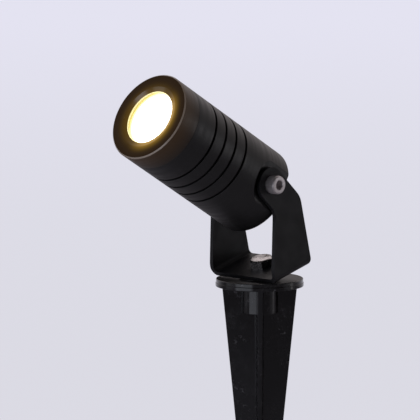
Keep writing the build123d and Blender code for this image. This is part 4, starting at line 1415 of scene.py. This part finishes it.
def pale_rays(tree, behind=0.0):
    """How far a ray sees the studio as pale: all of a camera ray, and a mirrored one only behind."""
    path = tree.nodes.new("ShaderNodeLightPath")
    straight = reckon(tree, "MAXIMUM", path.outputs["Is Camera Ray"], path.outputs["Is Transmission Ray"])
    mirrored = reckon(tree, "MULTIPLY", path.outputs["Is Glossy Ray"], behind)
    return reckon(tree, "MAXIMUM", straight, mirrored)


def shader_mix(tree, factor, first, second, leave):
    """Two shaders mixed into an output node's surface."""
    mix = tree.nodes.new("ShaderNodeMixShader")
    tree.links.new(factor, mix.inputs[0])
    tree.links.new(first.outputs[0], mix.inputs[1])
    tree.links.new(second.outputs[0], mix.inputs[2])
    tree.links.new(mix.outputs[0], leave.inputs["Surface"])


def floor_material(studio, away):
    """Pale floor. The camera sees it evenly lit, paler further off, and without a horizon."""
    material = bpy.data.materials.new("pale_floor")
    material.use_nodes = True
    tree = material.node_tree
    tree.nodes.clear()
    place = tree.nodes.new("ShaderNodeTexCoord").outputs["Object"]
    length = tree.nodes.new("ShaderNodeVectorMath")
    length.operation = "LENGTH"
    tree.links.new(place, length.inputs[0])
    shade = tree.nodes.new("ShaderNodeMix")
    shade.data_type = "RGBA"
    shade.inputs[6].default_value = (*studio.floor, 1)
    shade.inputs[7].default_value = (*studio.backdrop, 1)
    tree.links.new(spread(tree, length.outputs["Value"], 0.3, 4.5), shade.inputs["Factor"])
    matt = tree.nodes.new("ShaderNodeBsdfDiffuse")
    even = tree.nodes.new("ShaderNodeEmission")
    tree.links.new(shade.outputs[2], matt.inputs["Color"])
    tree.links.new(shade.outputs[2], even.inputs["Color"])
    behind = spread(tree, along(tree, place, away), 0.3, 1.2)
    shader_mix(tree, pale_rays(tree, behind), matt, even, tree.nodes.new("ShaderNodeOutputMaterial"))
    return material


def make_world(studio, away):
    """A pale backdrop for the camera. What it lights is bright behind the lamp and dim before it."""
    world = bpy.data.worlds.new("studio")
    world.use_nodes = True
    tree = world.node_tree
    tree.nodes.clear()
    seen = tree.nodes.new("ShaderNodeBackground")
    seen.inputs["Color"].default_value = (*studio.backdrop, 1)
    fill = tree.nodes.new("ShaderNodeBackground")
    fill.inputs["Color"].default_value = (*FILL_TINT, 1)
    behind = along(tree, tree.nodes.new("ShaderNodeTexCoord").outputs["Generated"], away)
    strength = spread(tree, behind, 0.0, 0.9, studio.front_fill, studio.back_fill)
    tree.links.new(strength, fill.inputs["Strength"])
    shader_mix(tree, pale_rays(tree), fill, seen, tree.nodes.new("ShaderNodeOutputWorld"))
    bpy.context.scene.world = world


def make_camera(studio, back):
    """The camera, looking against a direction at the studio's point."""
    lens = bpy.data.cameras.new("camera")
    lens.lens = studio.lens
    lens.sensor_width = 36.0
    lens.shift_x, lens.shift_y = studio.shift_x, studio.shift_y
    lens.clip_start, lens.clip_end = 0.05, 50.0
    camera = bpy.data.objects.new("camera", lens)
    camera.location = Vector((0, -studio.look_forward, studio.look_height)) + back * studio.distance
    camera.rotation_euler = (-back).to_track_quat("-Z", "Y").to_euler()
    bpy.context.scene.collection.objects.link(camera)
    bpy.context.scene.camera = camera


class SPOTLIGHT_OT_studio(bpy.types.Operator):
    """Set up the camera, the pale floor and the soft light"""

    bl_idname = "spotlight.studio"
    bl_label = "Studio"

    def execute(self, context):
        studio = context.scene.spotlight_studio
        make_camera(studio, outward(studio.azimuth, studio.elevation))
        away = -outward(studio.azimuth, 0.0)
        disc = prism("floor", circle(FLOOR_RADIUS, 96), SPIKE_TIP - 4 * MM, SPIKE_TIP - MM)
        floor = linked("floor", disc)
        floor.data.materials.append(floor_material(studio, away))
        make_world(studio, away)
        for name, (around, up, *rest) in SOFTBOXES.items():
            softbox(name, outward(studio.azimuth + radians(around), radians(up)), *rest)
        context.scene.view_settings.view_transform = "Standard"
        return {"FINISHED"}


class SPOTLIGHT_PT_panel(bpy.types.Panel):
    """Lists the makers of the spotlight's pieces"""

    bl_idname = "SPOTLIGHT_PT_panel"
    bl_label = "Garden Spike Spotlight"
    bl_space_type = "VIEW_3D"
    bl_region_type = "UI"
    bl_category = "Spotlight"

    def draw(self, context):
        for maker in MAKERS:
            self.layout.operator(maker.bl_idname)


MAKERS = (
    SPOTLIGHT_OT_studio,
    SPOTLIGHT_OT_inner_parts,
    SPOTLIGHT_OT_spike,
    SPOTLIGHT_OT_swivel,
    SPOTLIGHT_OT_yoke,
    SPOTLIGHT_OT_floor_bolt,
    SPOTLIGHT_OT_housing,
    SPOTLIGHT_OT_pivot_screws,
    SPOTLIGHT_OT_bezel,
    SPOTLIGHT_OT_window,
    SPOTLIGHT_OT_gland,
)

SETTINGS = {
    "spotlight_head": SpotlightHead,
    "spotlight_yoke": SpotlightYoke,
    "spotlight_spike": SpotlightSpike,
    "spotlight_swivel": SpotlightSwivel,
    "spotlight_gland": SpotlightGland,
    "spotlight_finish": SpotlightFinish,
    "spotlight_studio": SpotlightStudio,
}


def register():
    """Registers the settings, the makers and the panel."""
    for group in SETTINGS.values():
        bpy.utils.register_class(group)
    for maker in MAKERS:
        bpy.utils.register_class(maker)
    bpy.utils.register_class(SPOTLIGHT_PT_panel)
    for name, group in SETTINGS.items():
        setattr(bpy.types.Scene, name, PointerProperty(type=group))


def unregister():
    """Takes the settings, the makers and the panel away again."""
    for name in SETTINGS:
        delattr(bpy.types.Scene, name)
    bpy.utils.unregister_class(SPOTLIGHT_PT_panel)
    for maker in reversed(MAKERS):
        bpy.utils.unregister_class(maker)
    for group in reversed(SETTINGS.values()):
        bpy.utils.unregister_class(group)


def main():
    """Makes every piece and the studio."""
    register()
    for maker in MAKERS:
        family, name = maker.bl_idname.split(".")
        getattr(getattr(bpy.ops, family), name)()


if __name__ == "__main__":
    main()
